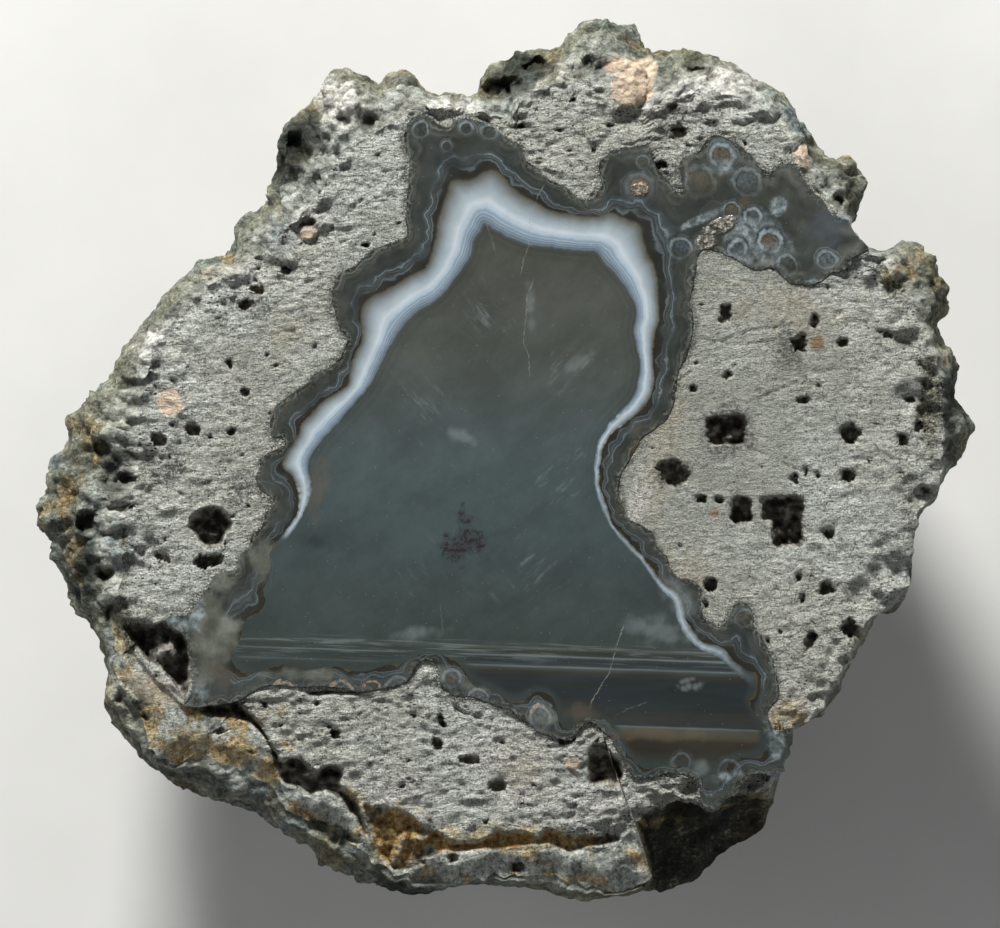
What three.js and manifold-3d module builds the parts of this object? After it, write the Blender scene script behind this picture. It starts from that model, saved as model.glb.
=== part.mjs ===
// Half of a thunder egg: a rhyolite nodule with an agate core, sawn through and polished,
// lying on its rounded back with the sawn face level at the top.
// Millimetres, +Z up. The middle of its flat resting spot is the origin.

import * as THREE from "three";
import { mergeVertices } from "three/addons/utils/BufferGeometryUtils.js";
import Module from "manifold-3d";

const wasm = await Module();
wasm.setup();

// ---- driving dimensions ---------------------------------------------------

const faceHeight = 44;           // sawn face above the resting spot
const girthDrop = 9;             // widest girth below the sawn face
const girthDropChange = 1.4;     // how far the girth wanders up and down
const restShare = 0.27;          // resting spot, as a share of the girth
const backHalfWidth = 46.5;      // rounded outline that the back settles to
const backHalfDepth = 43.5;
const rimStart = 25;             // degrees: how steeply the rind leaves the sawn face
const softenAngle = 16;          // degrees: stretch over which the back evens out the girth
const lumpHeight = 2.2;          // height of the lumps on the back
const ledgeHeight = 0.5;         // height of the small ledges on the rim
const columnStep = 3.4;          // widest step between columns round the girth
const seamGap = 0.3;             // gap between agate and rhyolite
const middle = [-0.5, 1];        // centre of the star-shaped outlines

// How the agate core narrows with depth: [depth, share of its contact outline].
// It starts above the sawn face, so that the cut goes through it.
const coreTaper = [[-1, 1.01], [5, 0.95], [11, 0.8], [17, 0.52], [21.5, 0.25]];

// Angles, in degrees round the middle, between which the rim is a hollow break.
const breakFrom = -73;
const breakTo = -52;

// ---- outlines, clockwise seen from above ----------------------------------

// Edge of the sawn face.
const faceEdge = [
  [-39, -1.2], [-39.5, 2], [-39.2, 5], [-37.9, 10.6], [-36.8, 13.2], [-33.1, 17.3], [-26.6, 21.6],
  [-22.2, 25.7], [-19.5, 29.1], [-17.5, 32.8], [-15.9, 34.2], [-9.9, 37.7], [-4.3, 37.6],
  [-0.7, 36.5], [0.8, 37], [1.9, 38.3], [3.8, 39.4], [8.6, 40.6], [11.1, 40.3], [14.5, 37.3],
  [20.9, 39.3], [23.7, 39.2], [28.5, 37], [30.1, 35.3], [31.9, 31.4], [35, 26.9], [38, 24.1],
  [43.5, 16.7], [46.7, 8.8], [47, 6.6], [47, 0.3], [46.4, -3.2], [44.5, -5.6], [43.3, -13.4],
  [42.6, -14.9], [39, -17.3], [37.8, -18.7], [37, -20.2], [37.1, -21.5], [36.1, -22.6],
  [35.7, -24.1], [30.7, -29], [29.7, -33.2], [27.3, -35.7], [24.2, -36.4], [23.1, -37.3],
  [21.7, -37.6], [20.5, -36.7], [15.1, -37.6], [13.6, -39.9], [15.6, -44.6], [14.5, -45.6],
  [12.6, -46], [10.4, -46.1], [3.6, -44.7], [-1.1, -44.6], [-5.8, -45.3], [-11.8, -44.3],
  [-15.2, -42.2], [-17.6, -39.6], [-23.2, -37.7], [-27.7, -33.4], [-31.7, -32], [-35.7, -32.5],
  [-37.2, -31.5], [-38.3, -30.2], [-40.1, -25.6], [-41.9, -22.7], [-41.9, -18.5], [-40.7, -6.5],
];

// Widest girth of the nodule, with its knobs.
const girth = [
  [-50, -6], [-49, -1.5], [-47.5, 0.5], [-46.3, 4.5], [-45.3, 6], [-42.9, 8], [-40.5, 12.3],
  [-35.6, 18.7], [-32.2, 21.3], [-29.9, 21.7], [-29.1, 22.8], [-28.4, 25.4], [-25.4, 27.5],
  [-23.4, 35.8], [-20.3, 38.5], [-18.8, 41.2], [-17.9, 41.9], [-13.5, 40.3], [-11.1, 41.8],
  [-7.7, 39.2], [-4, 38.9], [-2.6, 39.4], [-1.2, 42.1], [3.6, 44.1], [5.1, 43.9], [6.6, 44.7],
  [8.6, 46.9], [10.3, 47.1], [13.6, 46.3], [15.6, 43.9], [19.5, 43.8], [23.9, 42.7], [29.6, 39.3],
  [34, 32.7], [37.1, 32.1], [38.7, 29.9], [37.3, 25], [38.8, 23.2], [40.1, 22.5], [43.4, 23],
  [45, 22.3], [46.4, 21.1], [47.7, 18.3], [47.6, 16.8], [46.5, 14.6], [48.7, 10.3], [48.5, 6.4],
  [50.1, 3.7], [49.9, 1.9], [47.7, -1.3], [46.6, -3.9], [44.8, -5.9], [43, -15], [41.9, -16.3],
  [40.3, -16.6], [39.5, -17.5], [36.8, -22.5], [36, -25], [34.2, -27.3], [30.8, -29.3], [29.4, -35],
  [26.8, -40.7], [18.1, -46], [10.2, -47.2], [6.4, -47], [-0.5, -45.6], [-5.8, -46], [-9, -46.8],
  [-12.5, -46.2], [-18.4, -44], [-21.6, -41.1], [-28.5, -37.1], [-32, -36.4], [-35.3, -34.9],
  [-39.2, -31.9], [-41.5, -29.2], [-42.9, -26.5], [-42.7, -23], [-43.5, -19.9], [-45.2, -16.6],
  [-46.4, -15.3],
];

// Where agate meets rhyolite. It runs past the rim at the upper right and lower right.
const agateContact = [
  [-34.4, -26.4], [-33.3, -24.1], [-33.4, -22.6], [-34, -19.6], [-34.7, -18.5], [-36, -17.9],
  [-36.1, -17.1], [-33.7, -16.7], [-31.2, -12.7], [-30.1, -12.1], [-28.8, -12.1], [-28.2, -10.1],
  [-27.2, -9.5], [-27.1, -8.3], [-24.8, -5.1], [-24.9, -4.1], [-26.6, -2.2], [-26.1, -1.3],
  [-26.2, -0.2], [-23.4, 1.4], [-23.8, 2.2], [-24.8, 2.5], [-24.9, 4.7], [-24.2, 5.9],
  [-17.8, 10.6], [-17.1, 11.9], [-16.9, 13.1], [-17.7, 14], [-18.5, 16.9], [-17.9, 19.5],
  [-14, 22.4], [-11.1, 23.4], [-10.4, 24.4], [-10.2, 30.9], [-10.8, 33.8], [-10, 36.3],
  [-9, 37], [-5.9, 35.5], [-5.1, 36.3], [-3.9, 36.4], [-1.3, 35.5], [1.8, 33.4], [2.7, 31.6],
  [4.2, 30.3], [6.3, 29.3], [7.9, 27.9], [8.9, 27.7], [9.9, 28.2], [10.4, 29.2], [10, 31.2],
  [10.5, 32.1], [11.4, 32.8], [14.9, 33.7], [17.6, 29.6], [18.5, 28.6], [19.1, 28.7],
  [18.9, 32], [20.7, 32.8], [21.9, 34.3], [22.8, 34.6], [25.1, 33.6], [27.9, 30.6],
  [30.7, 31.6], [34.7, 26.5], [39.1, 24.5], [39.6, 23], [37.4, 21.6], [37, 20.7],
  [32.9, 18.7], [30.3, 19], [28.5, 20.5], [27.3, 20.2], [26.1, 20.5], [23.8, 21.9],
  [21.1, 22.4], [19.8, 16.6], [20.1, 13.4], [18.8, 9.8], [17.8, 5], [14, 1.2], [12.3, -2],
  [12.1, -3.3], [13.3, -6.3], [15.9, -7.9], [16.2, -9.2], [18.6, -12.7], [20.1, -13.1],
  [21, -13.9], [21.3, -16.9], [22.4, -17.9], [23.6, -17.9], [24.7, -15.7], [25.7, -15.5],
  [26.6, -16.4], [26.7, -17.8], [28.2, -20.4], [29.3, -23.6], [29.2, -25.6], [28.3, -26.8],
  [28.4, -28.1], [29.2, -29.2], [31, -28.8], [32.6, -30.3], [31.6, -32.4], [30.5, -33.9],
  [26.9, -33.6], [22.6, -38.2], [21.3, -38], [20.7, -34.7], [19.5, -33.9], [17.7, -33.6],
  [14.5, -34.2], [13.4, -33.5], [11.2, -29.6], [10.1, -28.7], [8.9, -28.2], [7.2, -30.1],
  [4.7, -29.7], [-0.3, -26.5], [-5.9, -24.9], [-6.8, -24], [-6.9, -22.6], [-7.8, -21.6],
  [-8.9, -21.6], [-10.5, -23.8], [-14, -24.7], [-25.5, -24.2], [-28.3, -25.8], [-32.3, -26.5],
];

// ---- hollows in the sawn face ---------------------------------------------

// Square and slanted pits left by weathered crystals:
// [x, y, width, length, depth, turn in degrees].
const pits = [
  [23.8, 3, 3.8, 2.8, 2.4, 4],
  [18.1, -1.8, 2.4, 2.2, 1.4, 30],
  [25.4, -5.5, 2, 2.5, 2, -4],
  [29.9, -5.6, 4, 2.2, 1.3, 2],
  [30.4, -8, 2.6, 3.4, 2.6, 3],
  [37, 2.7, 1.8, 1.9, 1.5, 35],
  [42.6, 2, 1.1, 1.3, 1, 0],
  [44.4, 3.4, 1.1, 1, 1, 15],
  [36.9, -1.8, 1.3, 1.1, 1, 10],
  [34.5, -13.9, 1.3, 1.2, 1.1, 20],
  [32.8, -19.4, 1.1, 2, 1.1, -30],
  [22.1, -13.5, 1.2, 1.1, 1, 0],
  [23.6, 15.4, 1.2, 1.6, 1, -15],
  [31.7, 12.4, 1.6, 1.6, 1.2, 40],
  [33.3, 15, 1, 1.5, 1, -30],
  [36.2, 12.5, 1.1, 0.9, 0.9, 0],
  [16.6, 31.4, 1.5, 0.9, 1, 10],
  [18.8, 34.8, 2, 1.3, 1.2, -5],
  [-37.1, -10.6, 1.7, 1.1, 1, -30],
  [-31.7, -11.3, 2.6, 1.3, 1.3, 10],
  [-42.9, 0.9, 2.1, 2.1, 1.6, 20],
  [-40.3, -2.2, 2, 2, 1.2, 50],
  [-18.1, -29.5, 1.1, 1, 1, 10],
  [-6.7, -28.2, 0.8, 1.8, 1, 20],
  [-3.6, -32.3, 2, 0.9, 1, -5],
  [-0.8, -34.9, 2, 1, 1, -5],
  [37.2, -18.3, 2, 1.4, 1.2, -40],
];

// Ragged vugs and the weathered gaps under the crust: depth, then outline.
const vugs = [
  [3.2, [[-32.9, -5.7], [-30.6, -5.5], [-29.1, -7.1], [-29.9, -7.9], [-31.7, -9.6], [-33.5, -7.9]]],
  [2.6, [[9.2, -31], [10.5, -30.6], [11.5, -31.5], [12.6, -32.8], [12.8, -33.8], [12.4, -34.9],
    [11.4, -35.3], [9.2, -34.6]]],
  [4.2, [[-40.8, -17.8], [-37.8, -17.8], [-36.3, -17.5], [-34.6, -18.3], [-33.8, -20.2],
    [-33.8, -24.2], [-34.6, -25.8], [-35.9, -23.5], [-36.9, -22.5], [-38.4, -21.5],
    [-39.6, -20], [-40.6, -18.7]]],
  [3.8, [[-34.6, -26.2], [-31, -26.8], [-28.8, -26.4], [-27.3, -27.3], [-25.6, -29.3],
    [-24.7, -31.2], [-23.6, -32.6], [-21.6, -33.4], [-17.9, -32.7], [-16.7, -35.5],
    [-15.2, -36.3], [-16.4, -37.1], [-17.6, -36], [-21.4, -36], [-23.5, -35], [-24.7, -33.3],
    [-25.6, -31], [-26.5, -29.3], [-28.8, -28.1], [-31.4, -27.9], [-33.8, -27.5]]],
  [4.6, [[-15.1, -37], [-11.9, -37.4], [-9.3, -38.5], [-6.9, -40], [-4.5, -41.1], [-1.6, -40.6],
    [-0.2, -39.7], [3.5, -40.5], [4.4, -39.5], [6.9, -40.3], [11.4, -40.1], [12.1, -40.4],
    [11, -41.3], [8.9, -42], [5.4, -42], [3.4, -41.3], [0, -41.9], [-6.8, -42.3], [-8.9, -43.5],
    [-11.9, -44.1], [-13.4, -42.9], [-14.6, -40.1]]],
  [1.6, [[-20.9, -36.1], [-18.6, -35.9], [-15.8, -37.2], [-16.2, -39.1], [-18.6, -38.9],
    [-20.9, -37.7]]],
];

// Knobs grown out of the rind: [x, y, z, half width, half height].
const rindKnobs = [
  [-15.4, 35.4, 37.5, 6, 6.2],
  [-10.6, 36.5, 36, 4.8, 5.5],
  [10.4, 40.5, 36, 6.2, 6],
  [33.6, 27.2, 36.5, 5.6, 6.5],
  [42, 17.5, 37, 5.2, 5.5],
  [44.6, 2.6, 35.5, 5.2, 6],
  [-41.5, -5.5, 36.8, 7.6, 6.2],
  [-39.5, 4.5, 37, 6.5, 6],
];

// Knobs that stand on the floor of a hollow: [x, y, z, half width, half height].
const hollowKnobs = [
  [-36.7, -20.7, 40.2, 1.7, 1.6],
  [-11.6, -40.8, 39.6, 1.2, 1.5],
];

// ---- helpers --------------------------------------------------------------

// Radius at which a ray from the middle, at an angle, last leaves an outline.
function reach(outline, angle) {
  const dx = Math.cos(angle);
  const dy = Math.sin(angle);
  let far = 0;
  outline.forEach(([x1, y1], i) => {
    const [x2, y2] = outline[(i + 1) % outline.length];
    const ax = x1 - middle[0];
    const ay = y1 - middle[1];
    const bx = x2 - x1;
    const by = y2 - y1;
    const cross = dx * by - dy * bx;
    if (Math.abs(cross) < 1e-9) return;
    const along = (ax * by - ay * bx) / cross;
    const share = (ax * dy - ay * dx) / cross;
    if (share > -1e-6 && share < 1 + 1e-6 && along > far) far = along;
  });
  return far;
}

// The same outline with points added so that no step is longer than a limit.
function evenOut(outline, limit) {
  return outline.flatMap(([x1, y1], i) => {
    const [x2, y2] = outline[(i + 1) % outline.length];
    const parts = Math.ceil(Math.hypot(x2 - x1, y2 - y1) / limit);
    return Array.from({ length: parts }, (_, k) => [
      x1 + (x2 - x1) * k / parts,
      y1 + (y2 - y1) * k / parts,
    ]);
  });
}

// An outline, clockwise, pushed outwards by a distance.
function pushOut(outline, distance) {
  const count = outline.length;
  return outline.map(([x, y], i) => {
    const [px, py] = outline[(i + count - 1) % count];
    const [nx, ny] = outline[(i + 1) % count];
    const before = new THREE.Vector2(-(y - py), x - px).normalize();
    const after = new THREE.Vector2(-(ny - y), nx - x).normalize();
    const out = before.clone().add(after).normalize();
    const stretch = Math.min(1 / Math.max(out.dot(after), 0.1), 1.4);
    return [x + out.x * distance * stretch, y + out.y * distance * stretch];
  });
}

// Rolling lumps, from about -1 to 1: sines whose phases are bent by other sines.
function lumps(x, y, z) {
  const broad = Math.sin(0.29 * x + 1.6 * Math.sin(0.17 * y + 0.23 * z))
    * Math.sin(0.27 * y + 1.4 * Math.sin(0.26 * z + 0.5))
    + 0.5 * Math.sin(0.41 * z + 1.5 * Math.sin(0.15 * x + 2) + 1.2 * Math.sin(0.21 * y));
  const small = Math.sin(0.71 * x + 1.3 * Math.sin(0.53 * z))
    * Math.sin(0.67 * y + 1.1 + 1.2 * Math.sin(0.47 * x))
    * Math.sin(0.75 * z + 1.4 * Math.sin(0.33 * y));
  return 0.55 * broad + 0.45 * small;
}

function smooth(t) {
  const s = Math.min(Math.max(t, 0), 1);
  return s * s * (3 - 2 * s);
}

// A closed solid through level rings of equal count, listed clockwise, top ring first.
// Each end is closed by a fan round its hub point, or by plain triangulation without one.
function stackRings(rings, hubs) {
  const count = rings[0].length;
  const points = rings.flat();
  const faces = [];
  for (let r = 0; r + 1 < rings.length; r += 1) {
    for (let i = 0; i < count; i += 1) {
      const j = (i + 1) % count;
      const a = r * count + i;
      const b = r * count + j;
      faces.push(a, b, b + count, a, b + count, a + count);
    }
  }
  [0, rings.length - 1].forEach((r, end) => {
    const start = r * count;
    const triangles = hubs
      ? Array.from({ length: count }, (_, i) => [start + i, points.length, start + (i + 1) % count])
      : THREE.ShapeUtils.triangulateShape(rings[r].map(([x, y]) => new THREE.Vector2(x, y)), [])
        .map((corners) => corners.map((k) => start + k));
    if (hubs) points.push(hubs[end]);
    triangles.forEach(([a, b, c]) => {
      const corners = [a, b, c].map((k) => new THREE.Vector2(points[k][0], points[k][1]));
      const turnsLeft = THREE.ShapeUtils.area(corners) > 0;
      faces.push(...(turnsLeft === (end === 0) ? [a, b, c] : [a, c, b]));
    });
  });
  const geometry = new THREE.BufferGeometry();
  geometry.setAttribute("position", new THREE.Float32BufferAttribute(points.flat(), 3));
  geometry.setIndex(faces);
  return geometry;
}

// A three.js geometry as a solid that can be joined and cut.
function solid(geometry) {
  const bare = geometry.clone();
  bare.deleteAttribute("normal");
  bare.deleteAttribute("uv");
  const merged = mergeVertices(bare, 1e-4);
  return new wasm.Manifold(new wasm.Mesh({
    numProp: 3,
    vertProperties: new Float32Array(merged.attributes.position.array),
    triVerts: new Uint32Array(merged.index.array),
  }));
}

// A finished solid as a named three.js mesh.
function namedMesh(name, shape, colour) {
  const mesh = shape.getMesh();
  const geometry = new THREE.BufferGeometry();
  geometry.setAttribute("position", new THREE.BufferAttribute(mesh.vertProperties, 3));
  geometry.setIndex(new THREE.BufferAttribute(mesh.triVerts, 1));
  geometry.computeVertexNormals();
  const material = new THREE.MeshStandardMaterial({ color: colour, roughness: 0.7 });
  const result = new THREE.Mesh(geometry, material);
  result.name = name;
  return result;
}

// ---- the whole nodule, before agate and rhyolite are told apart -----------

// Rind from the sawn face out to the girth. In a rounded rim it swells outwards,
// in the broken stretch it drops first and then runs out.
function rimPoint(angle, share) {
  const inner = reach(faceEdge, angle);
  const outer = reach(girth, angle);
  const drop = girthHeightBelowFace(angle);
  const start = THREE.MathUtils.degToRad(rimStart);
  const turn = start + share * (Math.PI / 2 - start);
  const swell = (Math.sin(turn) - Math.sin(start)) / (1 - Math.sin(start));
  const sink = 1 - Math.cos(turn) / Math.cos(start);
  const degrees = THREE.MathUtils.radToDeg(angle);
  const inBreak = smooth((degrees - breakFrom) / 3) * smooth((breakTo - degrees) / 3);
  const out = THREE.MathUtils.lerp(swell, share ** 1.7, inBreak);
  const down = THREE.MathUtils.lerp(sink, share ** 0.55, inBreak);
  const x = Math.cos(angle);
  const y = Math.sin(angle);
  const ledge = ledgeHeight * Math.sin(Math.PI * share) * lumps(2.6 * x * inner, 2.6 * y * inner, 9);
  const radius = inner + (outer - inner) * out + ledge * (1 - inBreak);
  return [middle[0] + x * radius, middle[1] + y * radius, faceHeight - drop * down];
}

function girthHeightBelowFace(angle) {
  return girthDrop + girthDropChange * (Math.sin(2 * angle + 1) + 0.5 * Math.sin(5 * angle));
}

// The girth without its knobs: its reach averaged over a stretch of angles.
function softReach(angle) {
  const spread = THREE.MathUtils.degToRad(softenAngle);
  const steps = [-1, -0.67, -0.33, 0, 0.33, 0.67, 1];
  return steps.reduce((sum, step) => sum + reach(girth, angle + step * spread), 0) / steps.length;
}

// Back of the nodule, from the girth (share 0) to the rim of the resting spot (share 1).
// The knobs of the girth die out first, then its whole outline turns to a plain oval.
function backPoint(angle, share) {
  const lowest = Math.acos(restShare);
  const dip = share * lowest;
  const x = Math.cos(angle);
  const y = Math.sin(angle);
  const rounded = 1 / Math.hypot(x / backHalfWidth, y / backHalfDepth);
  const knobbly = THREE.MathUtils.lerp(reach(girth, angle), softReach(angle), smooth(share * 5));
  const outline = THREE.MathUtils.lerp(knobbly, rounded, smooth(share * 1.8));
  const top = faceHeight - girthHeightBelowFace(angle);
  const height = top * (1 - Math.sin(dip) / Math.sin(lowest));
  const level = Math.cos(dip) * outline;
  const rough = smooth(share * 5) * smooth((1 - share) * 4);
  const radius = level + lumpHeight * rough * lumps(x * level, y * level, height);
  return [middle[0] + x * radius, middle[1] + y * radius, Math.max(height, 0)];
}

const angles = evenOut(girth, columnStep)
  .map(([x, y]) => Math.atan2(y - middle[1], x - middle[0]));
const rimShares = [0, 0.3, 0.62, 1];
const backShares = [0.07, 0.15, 0.24, 0.34, 0.45, 0.56, 0.67, 0.78, 0.89, 1];

const noduleRings = [
  ...rimShares.map((share) => angles.map((angle) => rimPoint(angle, share))),
  ...backShares.map((share) => angles.map((angle) => backPoint(angle, share))),
];
const nodule = solid(stackRings(noduleRings, [[...middle, faceHeight], [...middle, 0]]));

// An uneven ball for a knob: an icosahedron whose points the lumps move in and out.
function knobSolid([x, y, z, halfWidth, halfHeight]) {
  const ball = mergeVertices(new THREE.IcosahedronGeometry(1, 2).deleteAttribute("normal")
    .deleteAttribute("uv"), 1e-4);
  const place = ball.attributes.position;
  const point = new THREE.Vector3();
  for (let i = 0; i < place.count; i += 1) {
    point.fromBufferAttribute(place, i);
    point.multiplyScalar(1 + 0.16 * lumps(4 * point.x + x, 4 * point.y + y, 4 * point.z));
    place.setXYZ(i, x + halfWidth * point.x, y + halfWidth * point.y, z + halfHeight * point.z);
  }
  return solid(ball);
}

// ---- agate core and the room it fills in the rhyolite ---------------------

// A contact outline drawn in towards the middle, as it is at each level of a taper.
function taperedCore(outline, taper) {
  return solid(stackRings(taper.map(([depth, share]) => outline.map(([x, y]) => [
    middle[0] + (x - middle[0]) * share,
    middle[1] + (y - middle[1]) * share,
    faceHeight - depth,
  ]))));
}

const agate = nodule.intersect(taperedCore(agateContact, coreTaper));

// The room has the same taper, a gap wider all round, and a floor a gap lower.
const [floorDepth, floorShare] = coreTaper[coreTaper.length - 1];
const roomTaper = [...coreTaper, [floorDepth + seamGap, floorShare]];
const room = taperedCore(pushOut(agateContact, seamGap), roomTaper);

// ---- rhyolite: rind knobs on, hollows and pits out ------------------------

const pitSolids = pits.map(([x, y, width, length, depth, turn]) => {
  const box = new THREE.BoxGeometry(width, length, 2 * depth);
  box.rotateX(0.12 * Math.sin(3 * x));
  box.rotateY(0.12 * Math.sin(3 * y));
  box.rotateZ(THREE.MathUtils.degToRad(turn));
  box.translate(x, y, faceHeight);
  return solid(box);
});

const vugSolids = vugs.map(([depth, outline]) => {
  const shape = new THREE.Shape(outline.map(([x, y]) => new THREE.Vector2(x, y)));
  const block = new THREE.ExtrudeGeometry(shape, { depth: depth + 2, bevelEnabled: false });
  block.translate(0, 0, faceHeight - depth);
  return solid(block);
});

// Rind knobs stop at the plane of the saw cut.
const sawnOff = new THREE.BoxGeometry(120, 120, faceHeight);
sawnOff.translate(0, 0, faceHeight / 2);
const rindSolids = rindKnobs.map(knobSolid);
const hollowSolids = hollowKnobs.map(knobSolid);

let rhyolite = rindSolids.reduce((whole, knob) => whole.add(knob), nodule);
rhyolite = [...vugSolids, ...pitSolids].reduce((whole, hollow) => whole.subtract(hollow), rhyolite);
rhyolite = hollowSolids.reduce((whole, knob) => whole.add(knob), rhyolite);
rhyolite = rhyolite.intersect(solid(sawnOff)).subtract(room);

// ---- the part -------------------------------------------------------------

const part = new THREE.Group();
part.name = "thunder_egg";
part.add(namedMesh("rhyolite_shell", rhyolite, 0xa39b8e));
part.add(namedMesh("agate_core", agate, 0x55605f));

export default part;
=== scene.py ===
"""Half of a thunder egg, sawn and polished, lying on its rounded back.

Three pieces, all worked out with numpy in millimetres: the sawn rhyolite, the rind that wraps its
rim and back, and the agate core. Lines that are listed (edges, bands, orbs, pits) become
distances on the points of the pieces, and the finishes turn those distances into bands, stains
and patches of painted shade.
"""

import math

import bpy
import numpy as np
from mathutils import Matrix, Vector


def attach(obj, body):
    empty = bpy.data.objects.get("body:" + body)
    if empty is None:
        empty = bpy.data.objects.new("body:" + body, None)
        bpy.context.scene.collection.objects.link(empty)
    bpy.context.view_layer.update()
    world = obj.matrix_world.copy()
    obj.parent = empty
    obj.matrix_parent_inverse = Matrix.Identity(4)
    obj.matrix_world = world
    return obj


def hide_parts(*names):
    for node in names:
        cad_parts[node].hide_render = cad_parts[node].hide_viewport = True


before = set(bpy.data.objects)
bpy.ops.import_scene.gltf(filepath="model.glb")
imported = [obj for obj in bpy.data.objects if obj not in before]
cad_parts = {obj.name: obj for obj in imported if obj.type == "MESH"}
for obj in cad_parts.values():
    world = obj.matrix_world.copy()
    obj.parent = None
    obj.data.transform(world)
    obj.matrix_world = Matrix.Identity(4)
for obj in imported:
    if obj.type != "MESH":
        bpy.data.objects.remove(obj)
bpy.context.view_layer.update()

# ---- driving dimensions, in millimetres -------------------------------------------------------

MM = 0.001
FACE_HEIGHT = 44.0            # sawn face above the resting spot
GIRTH_DROP = 9.0              # widest girth below the sawn face
GIRTH_DROP_CHANGE = 1.4       # how far the girth wanders up and down
REST_SHARE = 0.27             # resting spot, as a share of the oval back
BACK_HALF_WIDTH = 46.5        # oval that the back settles to
BACK_HALF_DEPTH = 43.5
RIM_START = math.radians(25)  # how steeply the rind leaves the sawn face
SOFTEN_ANGLE = math.radians(16)
LUMP_HEIGHT = 2.2             # rolling lumps on the back
BREAK_FROM, BREAK_TO = -73.0, -52.0   # degrees: the broken stretch of the rim
MIDDLE = (-0.5, 1.0)          # centre that the outlines are seen from

COLUMNS = 900                 # points round the rhyolite and the rind
FACE_RINGS = 104              # rings from the agate out to the edge of the sawn face
RIM_RINGS = 36                # rings from there to the girth
BACK_RINGS = 60               # rings from the girth to the resting spot
AGATE_STEP = 0.242            # spacing of the points of the agate's polished top
POLISH_STEP = 0.07            # how far the softer rhyolite is worn below the agate

BLOCK_DEPTH = 7.0             # hidden block of rhyolite under the sawn face
HUB_DEPTH = 1.7               # the middle of its top, which the agate hides
CONTACT_SPACING = 0.26        # between points of the contact line
AGATE_FROM, AGATE_TO = (-37.5, -39.0), (41.0, 38.5)   # box that the agate's grid of points fills
AGATE_TOP_DROP = 0.002        # how far the polished top lies below FACE_HEIGHT
AGATE_RIM_DEPTH = 2.0         # depth of the agate at its contact
AGATE_GROWTH = 17.0           # how much deeper it gets towards its middle
AGATE_TAPER = 9.0             # how far in from the contact it has taken up most of that

RIPPLE_HEIGHT = 0.22          # relief of the sawn rhyolite where its roughness is 1
CLOD_HEIGHT = 0.1
ROUGH_WEAR = 0.16
PORE_DEPTH = 0.5
BROAD_HEIGHT = 0.05           # slow rise and fall of the whole face
CRUMBLE_HEIGHT, CRUMBLE_WEAR = 0.7, 0.55   # crumbled edge next to the rind
CRUST_SWELL, CRUST_WEAR = 0.55, 0.3        # smooth crust between the hollows and the rim
CRUST_ROLL, CRUST_ROLL_WIDTH = 1.2, 2.4    # how the crust rolls over at the edge of the face
CRACK_DEPTH, CRACK_WIDTH = 0.18, 0.09
DIP_SLOPE, DIP_DEPTH = 1.3, 1.6            # how the rhyolite dips away under the agate

KNOB_WIDTH, KNOB_TALLNESS, KNOB_HEIGHT = 3.4, 3.0, 1.5   # knobs of the rind
GRIT_WIDTH, GRIT_HEIGHT = 1.35, 0.7                      # clods between them
GRAIN_HEIGHT = 0.38
LEDGE_HEIGHT, LEDGE_WEAR = 1.8, 0.7        # ledges in the broken stretch of the rim
HOLLOW_STEEPNESS = 2.2        # how steeply the hollows in the rim sink
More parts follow.
